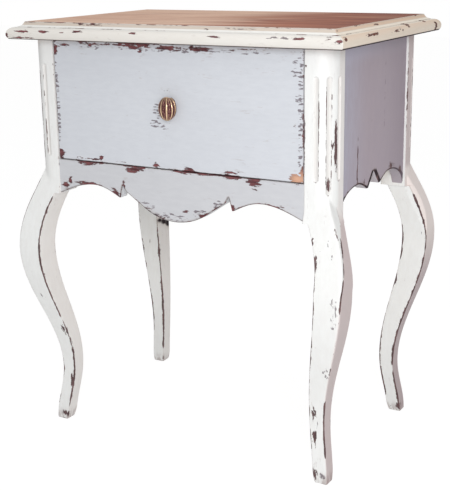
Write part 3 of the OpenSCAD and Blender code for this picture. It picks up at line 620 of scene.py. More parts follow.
# ---------------------------------------------------------------- Knob
def knob():
    """An oval melon on a neck and rose. Narrow upright ribs and wider, lower leaves take turns round
    it, each a half sine across. The neck and the rose are rings, round and then oval, along the line
    from the melon's middle to the drawer front."""
    ribs, narrow, depth = 8, 0.36, 1.4
    rings, sides = 60, ribs * 24
    face_y = DRAWER_LOW[1]
    middle_y = face_y - KNOB_OUT + KNOB_D / 2
    lat = np.linspace(-np.pi / 2, np.pi / 2, rings)[:, None]
    lon = np.linspace(0, 2 * np.pi, sides, endpoint=False)[None, :]
    share = (lon * ribs / (2 * np.pi) + narrow / 2 + 0.5) % 1
    rib = np.sin(np.pi * np.clip(share / narrow, 0, 1)) ** 0.6
    leaf = 0.5 * np.sin(np.pi * np.clip((share - narrow) / (1 - narrow), 0, 1)) ** 0.6
    groove = (1 - np.maximum(rib, leaf)) * np.cos(lat) ** 0.7
    swell = 1 - 2 * depth / KNOB_W * groove
    points = np.stack([
        KNOB_W / 2 * np.cos(lat) * np.cos(lon) * swell,
        middle_y + KNOB_D / 2 * np.cos(lat) * np.sin(lon) * swell,
        KNOB_Z + KNOB_H / 2 * np.sin(lat) * np.ones_like(lon)], axis=-1).reshape(-1, 3)
    melon = (points, grid_faces(rings, sides, closed_cols=True), {"hollow": groove.ravel()})
    wide, tall = ROSE_W / 2, ROSE_H / 2
    deep = middle_y - face_y
    profile = np.array([
        [0, 0, deep, 1], [NECK_R, NECK_R, deep, 1], [NECK_R, NECK_R, -ROSE_T, 1],
        [wide - 1.6, tall - 1.6, -ROSE_T + 0.3, 0.8], [wide - 1.2, tall - 1.2, -ROSE_T, 0.3],
        [wide - 0.5, tall - 0.5, -ROSE_T + 0.4, 0.2], [wide, tall, -ROSE_T + 1.3, 0.5],
        [wide, tall, 0, 1], [0, 0, 0, 1]])
    turn = np.linspace(0, 2 * np.pi, 64, endpoint=False)[None, :]
    half_x, half_z, y, dark = [profile[:, k:k + 1] + 0 * turn for k in range(4)]
    stem = np.stack([half_x * np.cos(turn), face_y + y, KNOB_Z + half_z * np.sin(turn)], axis=-1)
    neck = (stem.reshape(-1, 3), grid_faces(len(profile), 64, closed_cols=True), {"hollow": dark.ravel()})
    return put_mesh("ribbed_knob", [melon, neck], "drawer", "knob", 50.0)


# ---------------------------------------------------------------- Shader steps
class Steps:
    """A node tree written one step at a time: each call adds a node and gives back its output."""

    def __init__(self, tree):
        self.tree = tree

    def node(self, kind, inputs, **settings):
        """A node with these settings, each of its inputs joined to another's output or set."""
        made = self.tree.nodes.new(kind)
        for name, value in settings.items():
            setattr(made, name, value)
        for name, value in inputs.items():
            if isinstance(value, bpy.types.NodeSocket):
                self.tree.links.new(value, made.inputs[name])
            else:
                made.inputs[name].default_value = value
        return made

    def add(self, kind, inputs, out=0, **settings):
        return self.node(kind, inputs, **settings).outputs[out]

    def group(self, tree, inputs):
        """Places a node group and gives back all its outputs, by name."""
        return self.node("ShaderNodeGroup", inputs, node_tree=tree).outputs

    def math(self, operation, a, b=0.0, clamp=False):
        return self.add("ShaderNodeMath", {0: a, 1: b}, operation=operation, use_clamp=clamp)

    def mix(self, share, a, b):
        """A colour between a and b. Inputs 6 and 7 and output 2 are the node's own for colours."""
        return self.add("ShaderNodeMix", {0: share, 6: a, 7: b}, 2, data_type="RGBA")

    def lay(self, colour, coats):
        """Lays coats (share, strength, colour) over a colour in turn, each by share times strength."""
        for share, strength, coat in coats:
            colour = self.mix(self.math("MULTIPLY", share, strength), colour, coat)
        return colour

    def ramp(self, value, low, high, to_low=0.0, to_high=1.0):
        limits = {"Value": value, "From Min": low, "From Max": high, "To Min": to_low, "To Max": to_high}
        return self.add("ShaderNodeMapRange", limits, interpolation_type="SMOOTHSTEP")

    def stretch(self, vector, scale, spin=0.0):
        """The vector turned by spin round the upright, each way scaled by its own factor."""
        return self.add("ShaderNodeMapping", {"Vector": vector, "Scale": scale, "Rotation": (0, 0, spin)})

    def noise(self, vector, scale, detail=3.0, roughness=0.5, distortion=0.0):
        how = {"Vector": vector, "Scale": scale, "Detail": detail, "Roughness": roughness,
               "Distortion": distortion}
        return self.add("ShaderNodeTexNoise", how)

    def mark(self, name):
        return self.add("ShaderNodeAttribute", {}, "Fac", attribute_name=name)

    def place(self):
        return self.add("ShaderNodeTexCoord", {}, "Object")

    def along(self, axis, vector):
        return self.add("ShaderNodeSeparateXYZ", {"Vector": vector}, axis)


FLOAT, VECTOR = "NodeSocketFloat", "NodeSocketVector"


def shader_group(name, inputs, outputs, build):
    """A node group that build fills. It has a vector, number inputs with values, and number outputs."""
    tree = bpy.data.node_groups.new(name, "ShaderNodeTree")
    tree.interface.new_socket("Vector", in_out="INPUT", socket_type=VECTOR)
    for label, value in inputs.items():
        tree.interface.new_socket(label, in_out="INPUT", socket_type=FLOAT).default_value = value
    for label in outputs:
        tree.interface.new_socket(label, in_out="OUTPUT", socket_type=FLOAT)
    source, sink = tree.nodes.new("NodeGroupInput"), tree.nodes.new("NodeGroupOutput")
    for label, value in build(Steps(tree), source.outputs).items():
        tree.links.new(value, sink.inputs[label])
    return tree


def wear_steps(s, given):
    """Where the paint has gone: blotches and crumbs of noise rise over a limit that falls near an
    arris, more so in some stretches than in others, and where the piece is worn. Bare is the chips,
    Rim their dark ragged border, Rub thinned paint round it, Ticks fine dark scratches apart from it."""
    blotch = s.ramp(s.noise(given["Vector"], 75.0, 5.0, 0.65, 0.5), 0.32, 0.68)
    crumb = s.ramp(s.noise(given["Vector"], 380.0, 2.0, 0.6), 0.35, 0.65)
    stretch = s.ramp(s.noise(given["Vector"], 16.0, 2.0), 0.38, 0.62, 0.45, 1.35)
    grit = s.math("ADD", s.math("MULTIPLY", blotch, 0.7), s.math("MULTIPLY", crumb, 0.3))
    near = s.math("SUBTRACT", 1.0, s.math("DIVIDE", given["Edge"], given["Reach"]), clamp=True)
    near = s.math("MULTIPLY", s.math("MULTIPLY", near, near), s.math("MULTIPLY", given["Amount"], stretch))
    level = s.math("SUBTRACT", s.math("ADD", grit, s.math("ADD", near, given["Worn"])), 1.1)
    bare = s.ramp(level, 0.04, 0.1)
    rim = s.math("SUBTRACT", s.ramp(level, -0.07, 0.01), bare, clamp=True)
    rub = s.math("MULTIPLY", s.ramp(level, -0.24, 0.0), crumb)
    tick = s.math("ADD", s.noise(given["Vector"], 330.0, 2.0, 0.6), given["Fine"])
    return {"Bare": bare, "Rim": rim, "Rub": rub, "Ticks": s.ramp(tick, 0.97, 1.03)}


def brush_steps(s, given):
    """Fine streaks that a brush leaves along the piece, and slow clouds of more or less paint."""
    streak = s.noise(given["Vector"], 160.0, 3.0, 0.6)
    cloud = s.noise(given["Vector"], 9.0, 2.0, 0.5)
    height = s.math("ADD", s.math("MULTIPLY", streak, 0.6), s.math("MULTIPLY", cloud, 0.4))
    return {"Streak": s.ramp(streak, 0.3, 0.7), "Cloud": s.ramp(cloud, 0.3, 0.7), "Height": height}


def grain_steps(s, given):
    """Wood grain along X of the vector: long dark figure bent by slow noise, and short fine pores."""
    long = s.stretch(given["Vector"], (1.2, 14.0, 14.0))
    bent = s.noise(long, given["Scale"], 4.0, 0.55, 1.6)
    pores = s.noise(s.stretch(given["Vector"], (14.0, 260.0, 260.0)), 3.0, 2.0, 0.6)
    figure = s.ramp(bent, 0.3, 0.72)
    height = s.math("ADD", s.math("MULTIPLY", pores, 0.7), s.math("MULTIPLY", figure, 0.3))
    return {"Figure": figure, "Pores": s.ramp(pores, 0.52, 0.7), "Height": height}


WEAR = shader_group(
    "paint wear", {"Edge": 10.0, "Worn": 0.0, "Fine": 0.0, "Reach": 5.0, "Amount": 0.5},
    ["Bare", "Rim", "Rub", "Ticks"], wear_steps)
BRUSH = shader_group("brush marks", {}, ["Streak", "Cloud", "Height"], brush_steps)
GRAIN = shader_group("wood grain", {"Scale": 4.0}, ["Figure", "Pores", "Height"], grain_steps)


# ---------------------------------------------------------------- Colours of the finishes
def linear(red, green, blue):
    """A colour given as it looks on the screen, 0 to 255, as the shaders want it."""
    c = np.array([red, green, blue]) / 255
    return (*np.where(c <= 0.04045, c / 12.92, ((c + 0.055) / 1.055) ** 2.4).tolist(), 1.0)


# Light and dark tone of each finish, of the wood that shows where paint is gone, and of bare wood
CREAM = linear(241, 242, 241), linear(231, 230, 228)
NOSE_CREAM = linear(239, 239, 236), linear(229, 226, 220)
# The side mouldings' tan cream: the cream with a painted warm shade
SHADED_TAN_CREAM = linear(243, 235, 221), linear(232, 219, 203)
BLUE = linear(212, 215, 221), linear(200, 203, 210)
LOW_BLUE = linear(206, 207, 211), linear(194, 195, 200)
# The side panels' mauve: the blue-grey in painted shade
SHADED_PANEL_BLUE = linear(178, 176, 191), linear(164, 151, 163)
BARE_RED = linear(132, 80, 82), linear(72, 38, 42)
BARE_BROWN = linear(128, 80, 66), linear(80, 46, 38)
BARE_GREY = linear(114, 86, 86), linear(78, 58, 60)
STAINED_RED = linear(180, 112, 84), linear(124, 60, 44)
# Tan of the top's left end: a painted reflection
REFLECTION_TAN = linear(233, 198, 174), linear(207, 163, 139)
RAW_WOOD = linear(214, 182, 140), linear(186, 148, 104)
PLY_WOOD = linear(220, 194, 154), linear(198, 168, 126)
BRASS = linear(228, 200, 160), linear(74, 26, 30)
STEEL = linear(176, 176, 172), linear(140, 142, 144)

# Second colours of the paints: a painted shade on the legs' sides, a painted warm shade on the side
# mouldings' coves and noses, and a painted light under the boards. Then how a side panel's painted shade
# turns from front to back, with a painted light under the top
SHADED_PINK_CREAM, COVE_CREAM, SHADED_COVE_TAN = linear(238, 227, 223), linear(204, 192, 180), linear(222, 196, 174)
UNDER_LIT_BLUE, UNDER_LIT_GREY = linear(224, 226, 230), linear(198, 198, 200)
PANEL_SHADE_MIDDLE, PANEL_SHADE_BACK, PANEL_PAINTED_LIGHT = linear(172, 159, 168), linear(142, 128, 140), linear(196, 194, 212)

# What age has laid over the paint, the painted shade of side faces and painted shadows in creases
# and on lower edges, the rim of a chip and fresh breaks, and the top's lights and darks
SIDE_SHADE, EDGE_RUB, DUST, PAINTED_SHADOW = (
    linear(146, 122, 130), linear(150, 138, 132), linear(150, 128, 112), linear(40, 28, 34))
THIN_PAINT, FOOT_DIRT, TICK = linear(158, 140, 134), linear(134, 106, 102), linear(98, 84, 92)
CHIP_RIM, FRESH_RIM, FRESH_WOOD = linear(84, 62, 64), linear(190, 140, 120), linear(214, 168, 140)
TOP_LIGHTS, TOP_FAR_END, TOP_PORES = linear(207, 161, 134), linear(104, 50, 42), linear(92, 52, 44)
# A painted highlight on the knob's leaves
BRASS_PAINTED_HIGHLIGHT = linear(206, 156, 142)

# How the brush marks and wear are drawn out along a piece
ALONG_X, ALONG_Y, ALONG_Z = (0.27, 1.0, 1.0), (1.0, 0.27, 1.0), (1.0, 1.0, 0.27)


# ---------------------------------------------------------------- Materials
def new_material(name):
    """An empty material: its steps and its one shader, joined to the output."""
    material = bpy.data.materials.new(name)
    material.use_nodes = True
    material.node_tree.nodes.clear()
    steps = Steps(material.node_tree)
    shader = steps.node("ShaderNodeBsdfPrincipled", {})
    steps.node("ShaderNodeOutputMaterial", {"Surface": shader.outputs[0]})
    return material, steps, shader


def feed(steps, shader, colour, roughness, height, depth_mm):
    """Joins colour, roughness and a bump of that depth to the shader."""
    bump = steps.add("ShaderNodeBump", {"Height": height, "Distance": depth_mm * MM, "Strength": 1.0})
    for name, value in (("Base Color", colour), ("Roughness", roughness), ("Normal", bump)):
        steps.tree.links.new(value, shader.inputs[name])


def paint(name, tones, other, grain_way, reach, amount, bare, middle=None):
    """Old paint, brushed on, thinned and chipped at the arrises and worn places to bare wood in two
    tones. It has the other colour where a piece is so marked, a painted shade where the shade mark
    lies, and a painted shadow where the hollow mark passes 0.9. A side panel's paint, already in painted
    shade, turns to the middle colour away from the front, duller towards the back, and is paler under
    the top, a painted light."""
    material, s, shader = new_material(name)
    own = s.place()
    upright, deep = s.along("Z", own), s.along("Y", own)
    edge, hollow, fresh = s.mark("edge_mm"), s.mark("hollow"), s.mark("fresh")
    place = s.stretch(own, grain_way)
    wear = s.group(WEAR, {
        "Vector": place, "Edge": edge, "Worn": s.mark("worn"), "Fine": s.mark("fine"), "Reach": reach,
        "Amount": amount})
    brush = s.group(BRUSH, {"Vector": place})
    light, dark = tones
    if middle:
        light = s.mix(s.ramp(deep, -130 * MM, -20 * MM), light, middle)
    # The coats include the painted shade of side faces and the painted shadows of the hollow mark
    coats = [
        (brush["Streak"], 0.4, dark), (brush["Cloud"], 0.3, dark), (s.mark("other"), 1.0, other),
        (s.mark("shade"), 0.7, SIDE_SHADE), (s.ramp(edge, 1.8, 0.3), 0.3, EDGE_RUB), (hollow, 0.22, DUST),
        (s.ramp(hollow, 0.9, 1.7), 0.985, PAINTED_SHADOW), (wear["Rub"], 0.35, THIN_PAINT),
        (s.ramp(upright, 24 * MM, 2 * MM), s.ramp(brush["Streak"], 0.25, 0.75, 0.1, 0.5), FOOT_DIRT),
        (wear["Ticks"], 0.8, TICK)]
    # A side panel: painted shade duller towards the back and a painted light under the top
    if middle:
        front_share = s.ramp(deep, 80 * MM, -100 * MM, 0.2, 0.8)
        coats.append((s.ramp(deep, 20 * MM, 130 * MM), 0.45, PANEL_SHADE_BACK))
        coats.append((s.ramp(upright, 635 * MM, 672 * MM), front_share, PANEL_PAINTED_LIGHT))
    colour = s.mix(wear["Rim"], s.lay(light, coats), s.mix(fresh, CHIP_RIM, FRESH_RIM))
    colour = s.mix(wear["Bare"], colour, s.mix(fresh, s.mix(brush["Streak"], *bare), FRESH_WOOD))
    rough = s.math("MAXIMUM", s.ramp(wear["Bare"], 0.0, 1.0, 0.48, 0.7), s.ramp(hollow, 1.0, 1.6))
    height = s.math("SUBTRACT", s.math("MULTIPLY", brush["Height"], 0.3), wear["Bare"])
    feed(s, shader, colour, rough, height, 0.25)
    shader.inputs["Specular IOR Level"].default_value = 0.35
    return material


def wood(name, tones, scale, roughness, spin=0.0):
    """Bare planed wood with its grain along one direction, turned by spin round the upright."""
    material, s, shader = new_material(name)
    grain = s.group(GRAIN, {"Vector": s.stretch(s.place(), (1, 1, 1), spin), "Scale": scale})
    colour = s.lay(s.mix(grain["Figure"], *tones), [(grain["Pores"], 0.4, tones[1])])
    rough = s.ramp(grain["Figure"], 0, 1, roughness - 0.05, roughness + 0.05)
    feed(s, shader, colour, rough, grain["Height"], 0.15)
    return material


def top_wood():
    """Red-brown stained top, paler tan towards its left end, a painted reflection, darker at its right end,
    with tan lights along the grain.
    """
    material, s, shader = new_material("stained top wood")
    place = s.place()
    grain = s.group(GRAIN, {"Vector": place, "Scale": 2.2})
    cloud = s.noise(s.stretch(place, (1.5, 9.0, 9.0)), 2.2, 3.0, 0.55, 0.6)
    across = s.along("X", place)
    shift = s.math("ADD", across, s.math("MULTIPLY", s.math("SUBTRACT", cloud, 0.5), 0.5))
    red = s.lay(s.mix(grain["Figure"], *STAINED_RED), [(s.ramp(cloud, 0.5, 0.7), 0.55, TOP_LIGHTS)])
    # Paler tan towards the left end: a painted reflection
    colour = s.mix(s.ramp(shift, 160 * MM, -60 * MM), red, s.mix(grain["Figure"], *REFLECTION_TAN))
    colour = s.lay(colour, [
        (s.ramp(across, 160 * MM, 290 * MM), 0.35, TOP_FAR_END), (grain["Pores"], 0.3, TOP_PORES)])
    feed(s, shader, colour, s.ramp(cloud, 0.3, 0.7, 0.5, 0.62), grain["Height"], 0.08)
    shader.inputs["Specular IOR Level"].default_value = 0.25
    return material


def antique_brass():
    """Brass rubbed pale on the ribs, left dark red-brown in the grooves, with painted highlights spotted on
    the leaves.
    """
    material, s, shader = new_material("antique brass")
    hollow = s.mark("hollow")
    patina = s.noise(s.place(), 420.0, 3.0, 0.6)
    dark = s.ramp(s.math("ADD", hollow, s.math("MULTIPLY", patina, 0.5)), 0.35, 0.75)
    # Painted highlights spotted on the leaves
    colour = s.lay(s.mix(dark, *BRASS), [
        (s.ramp(patina, 0.5, 0.62), s.ramp(hollow, 0.75, 0.55, 0.0, 0.6), BRASS_PAINTED_HIGHLIGHT)])
    feed(s, shader, colour, s.ramp(dark, 0, 1, 0.3, 0.6), patina, 0.1)
    s.tree.links.new(s.ramp(dark, 0, 1, 0.9, 0.3), shader.inputs["Metallic"])
    return material


def screw_steel():
    """Zinc-plated steel, slightly cloudy."""
    material, s, shader = new_material("zinc plated steel")
    cloud = s.noise(s.place(), 300.0, 3.0, 0.6)
    feed(s, shader, s.mix(cloud, *STEEL), s.ramp(cloud, 0.3, 0.7, 0.32, 0.45), cloud, 0.05)
    shader.inputs["Metallic"].default_value = 1.0
    return material


cream_upright = paint("cream paint on uprights", CREAM, SHADED_PINK_CREAM, ALONG_Z, 3.6, 0.55, BARE_GREY)
cream_across = paint("cream paint on mouldings", NOSE_CREAM, COVE_CREAM, ALONG_X, 2.6, 0.4, BARE_RED)
# The side mouldings' paint: cream with a painted warm shade
cream_shaded_side = paint("cream paint with a painted warm shade on side mouldings", SHADED_TAN_CREAM, SHADED_COVE_TAN, ALONG_Y, 2.6, 0.4, BARE_BROWN)
blue_across = paint("blue-grey paint on the drawer", BLUE, UNDER_LIT_BLUE, ALONG_X, 3.6, 0.6, BARE_RED)
blue_low = paint("blue-grey paint on the apron", LOW_BLUE, UNDER_LIT_BLUE, ALONG_X, 3.6, 0.6, BARE_RED)
# The side panels' paint: the blue-grey in painted shade, with a painted light under the top
panel_paint_shaded = paint(
    "blue-grey paint in painted shade on the panels", SHADED_PANEL_BLUE, UNDER_LIT_GREY, ALONG_Z, 3.6, 0.6, BARE_GREY, PANEL_SHADE_MIDDLE)
raw_along_y = wood("raw wood along the depth", RAW_WOOD, 4.0, 0.62, math.radians(90))
raw_along_x = wood("raw wood along the width", RAW_WOOD, 4.0, 0.62)
ply = wood("thin bottom board", PLY_WOOD, 3.0, 0.6)
steel = screw_steel()
brass = antique_brass()
stained_top = top_wood()


def dress(piece, material):
    """Gives a new piece its one material."""
    piece.data.materials.clear()
    piece.data.materials.append(material)


def finish_nodes(names, material):
    """Gives CAD nodes that stay in sight their material."""
    for name in names:
        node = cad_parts[name]
        for slot in node.material_slots:
            slot.material = material
        if not node.material_slots:
            node.data.materials.append(material)


# ---------------------------------------------------------------- Worn places, in millimetres
# Lines along each arris of a leg: lowest, highest, strength. Spots and painted shadows on a leg: place,
# half sizes, strength. Those on a board, the drawer or a moulding: along, height, half sizes, strength.
# A spot weaker than a half is a patch of fine dark ticks, and a stronger one is chipped.
LEG_LINES = {
    "leg_front_left": {
        "front": [
            (20, 358, 0.62), (66, 100, 0.95), (160, 182, 0.95), (225, 330, 0.8), (345, 416, 0.82),
            (560, 640, 0.3)],
        "outer": [
            (72, 112, 1.1), (100, 124, 0.6), (22, 50, 0.6), (226, 256, 0.85), (345, 448, 0.78),
            (0, 14, 0.9)],
        "side": [(30, 330, 0.45)]},
    "leg_front_right": {
        "ridge": [(296, 350, 1.6), (262, 290, 0.8), (375, 404, 0.9), (346, 376, 0.6)],
        "outer": [(184, 204, 0.95), (204, 260, 0.5), (40, 138, 1.5)],
        "front": [
            (322, 352, 0.62), (258, 314, 0.82), (140, 258, 0.6), (94, 126, 0.8), (46, 92, 0.85),
            (0, 26, 0.8)],
        "side": [(40, 330, 0.4)]},
    "leg_back_right": {
        "side": [
            (345, 408, 0.72), (296, 345, 0.45), (240, 296, 0.6), (90, 240, 0.62), (20, 84, 0.85),
            (0, 22, 0.95)],
        "inner": [
            (278, 350, 1.4), (232, 264, 1.0), (190, 212, 0.9), (112, 190, 0.6), (84, 112, 1.0),
            (26, 92, 2.6)],
        "outer": [(200, 340, 0.55)]},
    "leg_back_left": {
        "side": [(190, 262, 0.75), (66, 152, 1.3), (262, 340, 0.6)],
        "inner": [(30, 310, 0.72), (0, 18, 0.8)],
        "outer": [(180, 340, 0.55)]},
}
LEG_SPOTS = {
    "leg_front_left": [
        (-249, -190, 378, 5, 5, 6, 0.6), (-254, -197, 352, 4, 4, 7, 0.75),
        (-242, -165, 174, 6, 6, 12, 0.95), (-254.5, -156, 92, 3.5, 5, 14, 1.15),
        (-236.5, -157, 76, 4, 5, 14, 0.9), (-270, -186, 236, 5, 5, 8, 0.45),
        (-246, -168, 12, 9, 9, 6, 0.85), (-268, -172, 5, 6, 9, 5, 0.9), (-238, -170, 14, 6, 8, 9, 0.7)],
    "leg_front_right": [
        (267.8, -152.2, 542, 3.6, 3.4, 34, 1.3), (265.5, -156.5, 534, 4, 5, 8, 1.0),
        (260.5, -160.5, 474, 3, 2.4, 11, 0.95), (229, -170, 647, 2.5, 3, 4, 0.8),
        (227, -169, 520, 2, 3, 50, 0.5), (245.5, -183, 396, 3, 6, 6, 0.85),
        (252.5, -190.5, 367, 6, 6, 17, 1.1), (258, -190, 386, 6, 6, 9, 0.48),
        (280, -188, 376, 3, 5, 9, 0.47), (271, -183, 396, 3, 5, 7, 0.46),
        (289, -198, 306, 9, 6, 20, 0.485), (286, -196, 280, 9, 5, 16, 0.45),
        (265, -170, 190, 8, 7, 16, 0.487), (238.5, -157, 112, 5, 6, 11, 0.9),
        (240, -158, 70, 5, 6, 15, 1.0), (243, -158, 90, 4, 5, 24, 0.47), (244, -166, 13, 5, 8, 9, 0.68),
        (258, -166, 14, 8, 6, 7, 0.44)],
    "leg_back_right": [
        (291, 151, 330, 5, 7, 9, 0.47), (284, 146, 268, 6, 6, 12, 0.48), (262, 146, 12, 6, 8, 9, 0.85),
        (246, 146, 10, 12, 6, 2.5, 0.8)],
    "leg_back_left": [
        (-270, 146, 243, 2.5, 6, 18, 0.72), (-264, 140, 212, 2.5, 6, 14, 0.75),
        (-255, 131, 120, 4, 5, 26, 0.6)],
}
# Painted shadows on the back left leg below the apron: place, half sizes, strength
BACK_LEG_SHADOW = [
    (-253, 192, 281, 8, 12, 10, 1.0), (-253, 178, 287, 8, 12, 8, 1.0), (-253, 164, 292, 6, 11, 6, 1.0)]
DRAWER_SPOTS = [
    (0, 667.5, 260, 2.2, 0.62), (-20, 667, 62, 4, 0.8), (0, 662, 240, 6, 0.425), (-222, 575, 7, 95, 0.47),
    (-221, 657, 5, 11, 0.85), (-200, 665, 14, 3, 0.9), (-150, 665, 5, 2, 0.85), (-64, 665, 18, 4, 0.9),
    (-55, 659, 4, 5, 0.8), (18, 666, 50, 5, 0.92), (150, 667, 60, 3, 0.75), (221, 655, 5, 16, 0.48),
    (-222, 486, 6, 9, 1.05), (-178, 482, 14, 2.5, 0.85), (-152, 482, 22, 3, 0.7), (-139, 485, 5, 5, 0.85),
    (-80, 482, 40, 2, 0.5), (-32, 484, 7, 5, 0.95), (31, 483, 10, 4, 0.9), (95, 482, 30, 3, 0.55),
    (150, 482, 35, 3, 0.55), (215, 482, 12, 7, 1.15), (223, 492, 3, 9, 1.0), (220, 590, 6, 85, 0.47),
    (214, 652, 9, 9, 0.47), (212, 636, 11, 8, 0.45), (214, 600, 7, 8, 0.44), (211, 562, 2, 7, 0.6),
    (219, 520, 6, 26, 0.46), (-225, 580, 2, 95, 0.85), (-25, 568, 12, 17, 0.495), (-31, 549, 13, 11, 0.48),
    (-14, 546, 16, 9, 0.44), (-8, 598, 12, 5, 0.4)]
FRESH_SPOTS = [(216, 484, 16, 12, 1.0)]
APRON_SPOTS = [
    (-168, 474, 20, 3.5, 1.0), (-73, 473, 24, 6, 1.05), (20, 474, 30, 2.5, 0.6), (100, 474, 25, 2, 0.5),
    (146, 471, 15, 9, 1.1), (178, 472, 25, 2, 0.55), (215, 473, 8, 3, 0.5), (-214, 432, 8, 6, 0.85),
    (-204, 443, 4, 9, 0.75), (-168, 441, 25, 4, 0.65), (-113, 431, 10, 8, 0.95), (-96, 441, 3, 9, 0.6),
    (-48, 410, 20, 5, 0.6), (-15, 399, 25, 4, 0.65), (21, 413, 6, 2.5, 0.7), (20, 398, 25, 4, 0.55),
    (56, 412, 14, 7, 0.6), (73, 424, 8, 6, 0.6), (104, 430, 8, 6, 0.85), (135, 440, 24, 4, 0.6),
    (180, 438, 20, 3, 0.5), (-62, 416, 34, 8, 0.44), (-8, 402, 45, 8, 0.46), (52, 412, 25, 9, 0.47),
    (80, 430, 12, 9, 0.48)]
# Painted shadows on the apron's lower edge: along, height, half sizes, strength
APRON_SHADOW = [(-52, 405.5, 10, 4.2, 1.0), (-38, 400.5, 10, 4.0, 1.0)]
SIDE_SPOTS = [
    (-66.5, 494, 2.2, 46, 0.85), (-66.5, 478, 2.6, 26, 1.0), (38, 575, 2, 80, 0.49), (78, 464, 14, 6, 0.8),
    (-45, 460, 12, 6, 0.75), (-100, 452, 16, 5, 0.6), (16, 456, 6, 8, 0.6), (-18, 455, 5, 9, 0.6),
    (110, 452, 12, 6, 0.6), (0, 474, 4, 6, 0.6), (-13, 551, 1.3, 20, 0.5)]
FRONT_EDGE_SPOTS = [
    (-268, 686, 16, 1.7, 1.1), (-223, 686, 10, 1.7, 0.95), (-183, 686, 8, 1.6, 0.95),
    (-158, 687.5, 13, 2.2, 1.0), (-75, 686, 5, 2.6, 0.8), (-50, 688, 9, 2.2, 0.95),
    (93, 686.5, 17, 1.8, 0.95), (72, 695, 6, 1.5, 0.7), (201, 687, 26, 3, 0.48), (229, 687, 12, 2, 0.68),
    (277, 689, 8, 2.5, 0.7), (292, 687, 6, 4, 0.9), (-296, 681, 3, 7, 0.9), (-258, 676, 30, 1.6, 0.75),
    (-120, 697, 60, 1.5, 0.5), (120, 697, 50, 1.5, 0.45)]
SIDE_EDGE_SPOTS = [
    (-184, 687, 7, 4, 0.95), (-88, 687, 24, 2.5, 0.88), (8, 685, 28, 3, 0.62), (54, 690, 9, 3, 0.8),
    (133, 691, 4, 2, 0.8), (172, 683, 7, 8, 1.05), (-172, 697, 8, 2, 0.7), (-30, 697, 40, 1.5, 0.5)]
BACK_EDGE_SPOTS = [(-150, 687, 18, 3, 0.6), (40, 687, 14, 3, 0.7), (190, 688, 24, 2.5, 0.6)]


def mirrored(spots):
    """The same spots on the other end of a board or moulding."""
    return [(-spot[0], *spot[1:]) for spot in spots]


# ---------------------------------------------------------------- The pieces
def front_shade(z):
    """An even painted shade over the leg, none on the stile."""
    return 0.62 * ease((440 - z) / 25)


def back_shade(z):
    """A painted shade that grows down the leg from its knee, and a weaker one on the stile."""
    return 0.9 * ease((365 - z) / 140) + 0.62 * ease((z - 445) / 15)


# Each leg has a painted shade on its side faces; the back left one also has painted shadows
for name, sx, sy, shadow_spots, shade in (
        ("leg_front_left", -1, -1, [], front_shade), ("leg_front_right", 1, -1, [], front_shade),
        ("leg_back_left", -1, 1, BACK_LEG_SHADOW, back_shade), ("leg_back_right", 1, 1, [], back_shade)):
    dress(leg(name, sx, sy, LEG_LINES[name], LEG_SPOTS[name], shadow_spots, shade), cream_upright)

# A painted shadow along the lower edges of the apron and, below, of the side panels
dress(board("front_apron", 0, spaced(apron_edge(), FINE), 28, APRON_SPOTS, 1.25, shadow_spots=APRON_SHADOW), blue_low)
for name, quarters, spots in (
        ("side_panel_left", 3, mirrored(SIDE_SPOTS)), ("side_panel_right", 1, SIDE_SPOTS)):
    dress(board(name, quarters, spaced(side_edge(), FINE), 60, spots, 1.8, 0.27), panel_paint_shaded)
back_low = box("back_panel")[0][2]
back_edge = np.array([[-OPENING_HALF, back_low], [OPENING_HALF, back_low]])
dress(board("back_panel", 2, spaced(back_edge, 6.0), 40, []), blue_low)

dress(drawer_front_face(DRAWER_SPOTS), blue_across)
# Painted shadow on a moulding's lower arris and painted shade in its creases; tan is a painted warm shade
wide = {"half": WOOD_X, "out": WOOD_Y, "shadow_rim": 1.9, "crease_shade": 1.25, "tan": 0}
deep = {"half": WOOD_Y, "out": WOOD_X, "shadow_rim": 2.9, "crease_shade": 1.35, "tan": 0.45}
for name, quarters, spots, side, material in (
        ("edge_front", 0, FRONT_EDGE_SPOTS, wide, cream_across),
        ("edge_right", 1, SIDE_EDGE_SPOTS, deep, cream_shaded_side),
        ("edge_back", 2, BACK_EDGE_SPOTS, wide, cream_across),
        ("edge_left", 3, mirrored(SIDE_EDGE_SPOTS), deep, cream_shaded_side)):
    dress(edge_strip(name, quarters, spots, **side), material)
dress(knob(), brass)

finish_nodes(["top_panel"], stained_top)
finish_nodes(["kicker_left", "kicker_right", "runner_left", "runner_right", "guide_left", "guide_right",
              "drawer_side_left", "drawer_side_right"], raw_along_y)
finish_nodes(["drawer_stops", "corner_blocks", "drawer_back"], raw_along_x)
finish_nodes(["drawer_bottom"], ply)
finish_nodes(["top_screws", "guide_screws", "bottom_screws", "knob_screw"], steel)


# ---------------------------------------------------------------- Floor, light and camera
# Where the photograph was taken from, in metres and degrees: the camera looks yaw to the left of
# straight ahead and pitch down, and is rolled a little.
CAMERA_PLACE, CAMERA_YAW, CAMERA_PITCH, CAMERA_ROLL = (0.886, -1.519, 0.807), 30.49, 15.68, -0.97
SENSOR_MM, LENS_MM = 36.0, 77.3


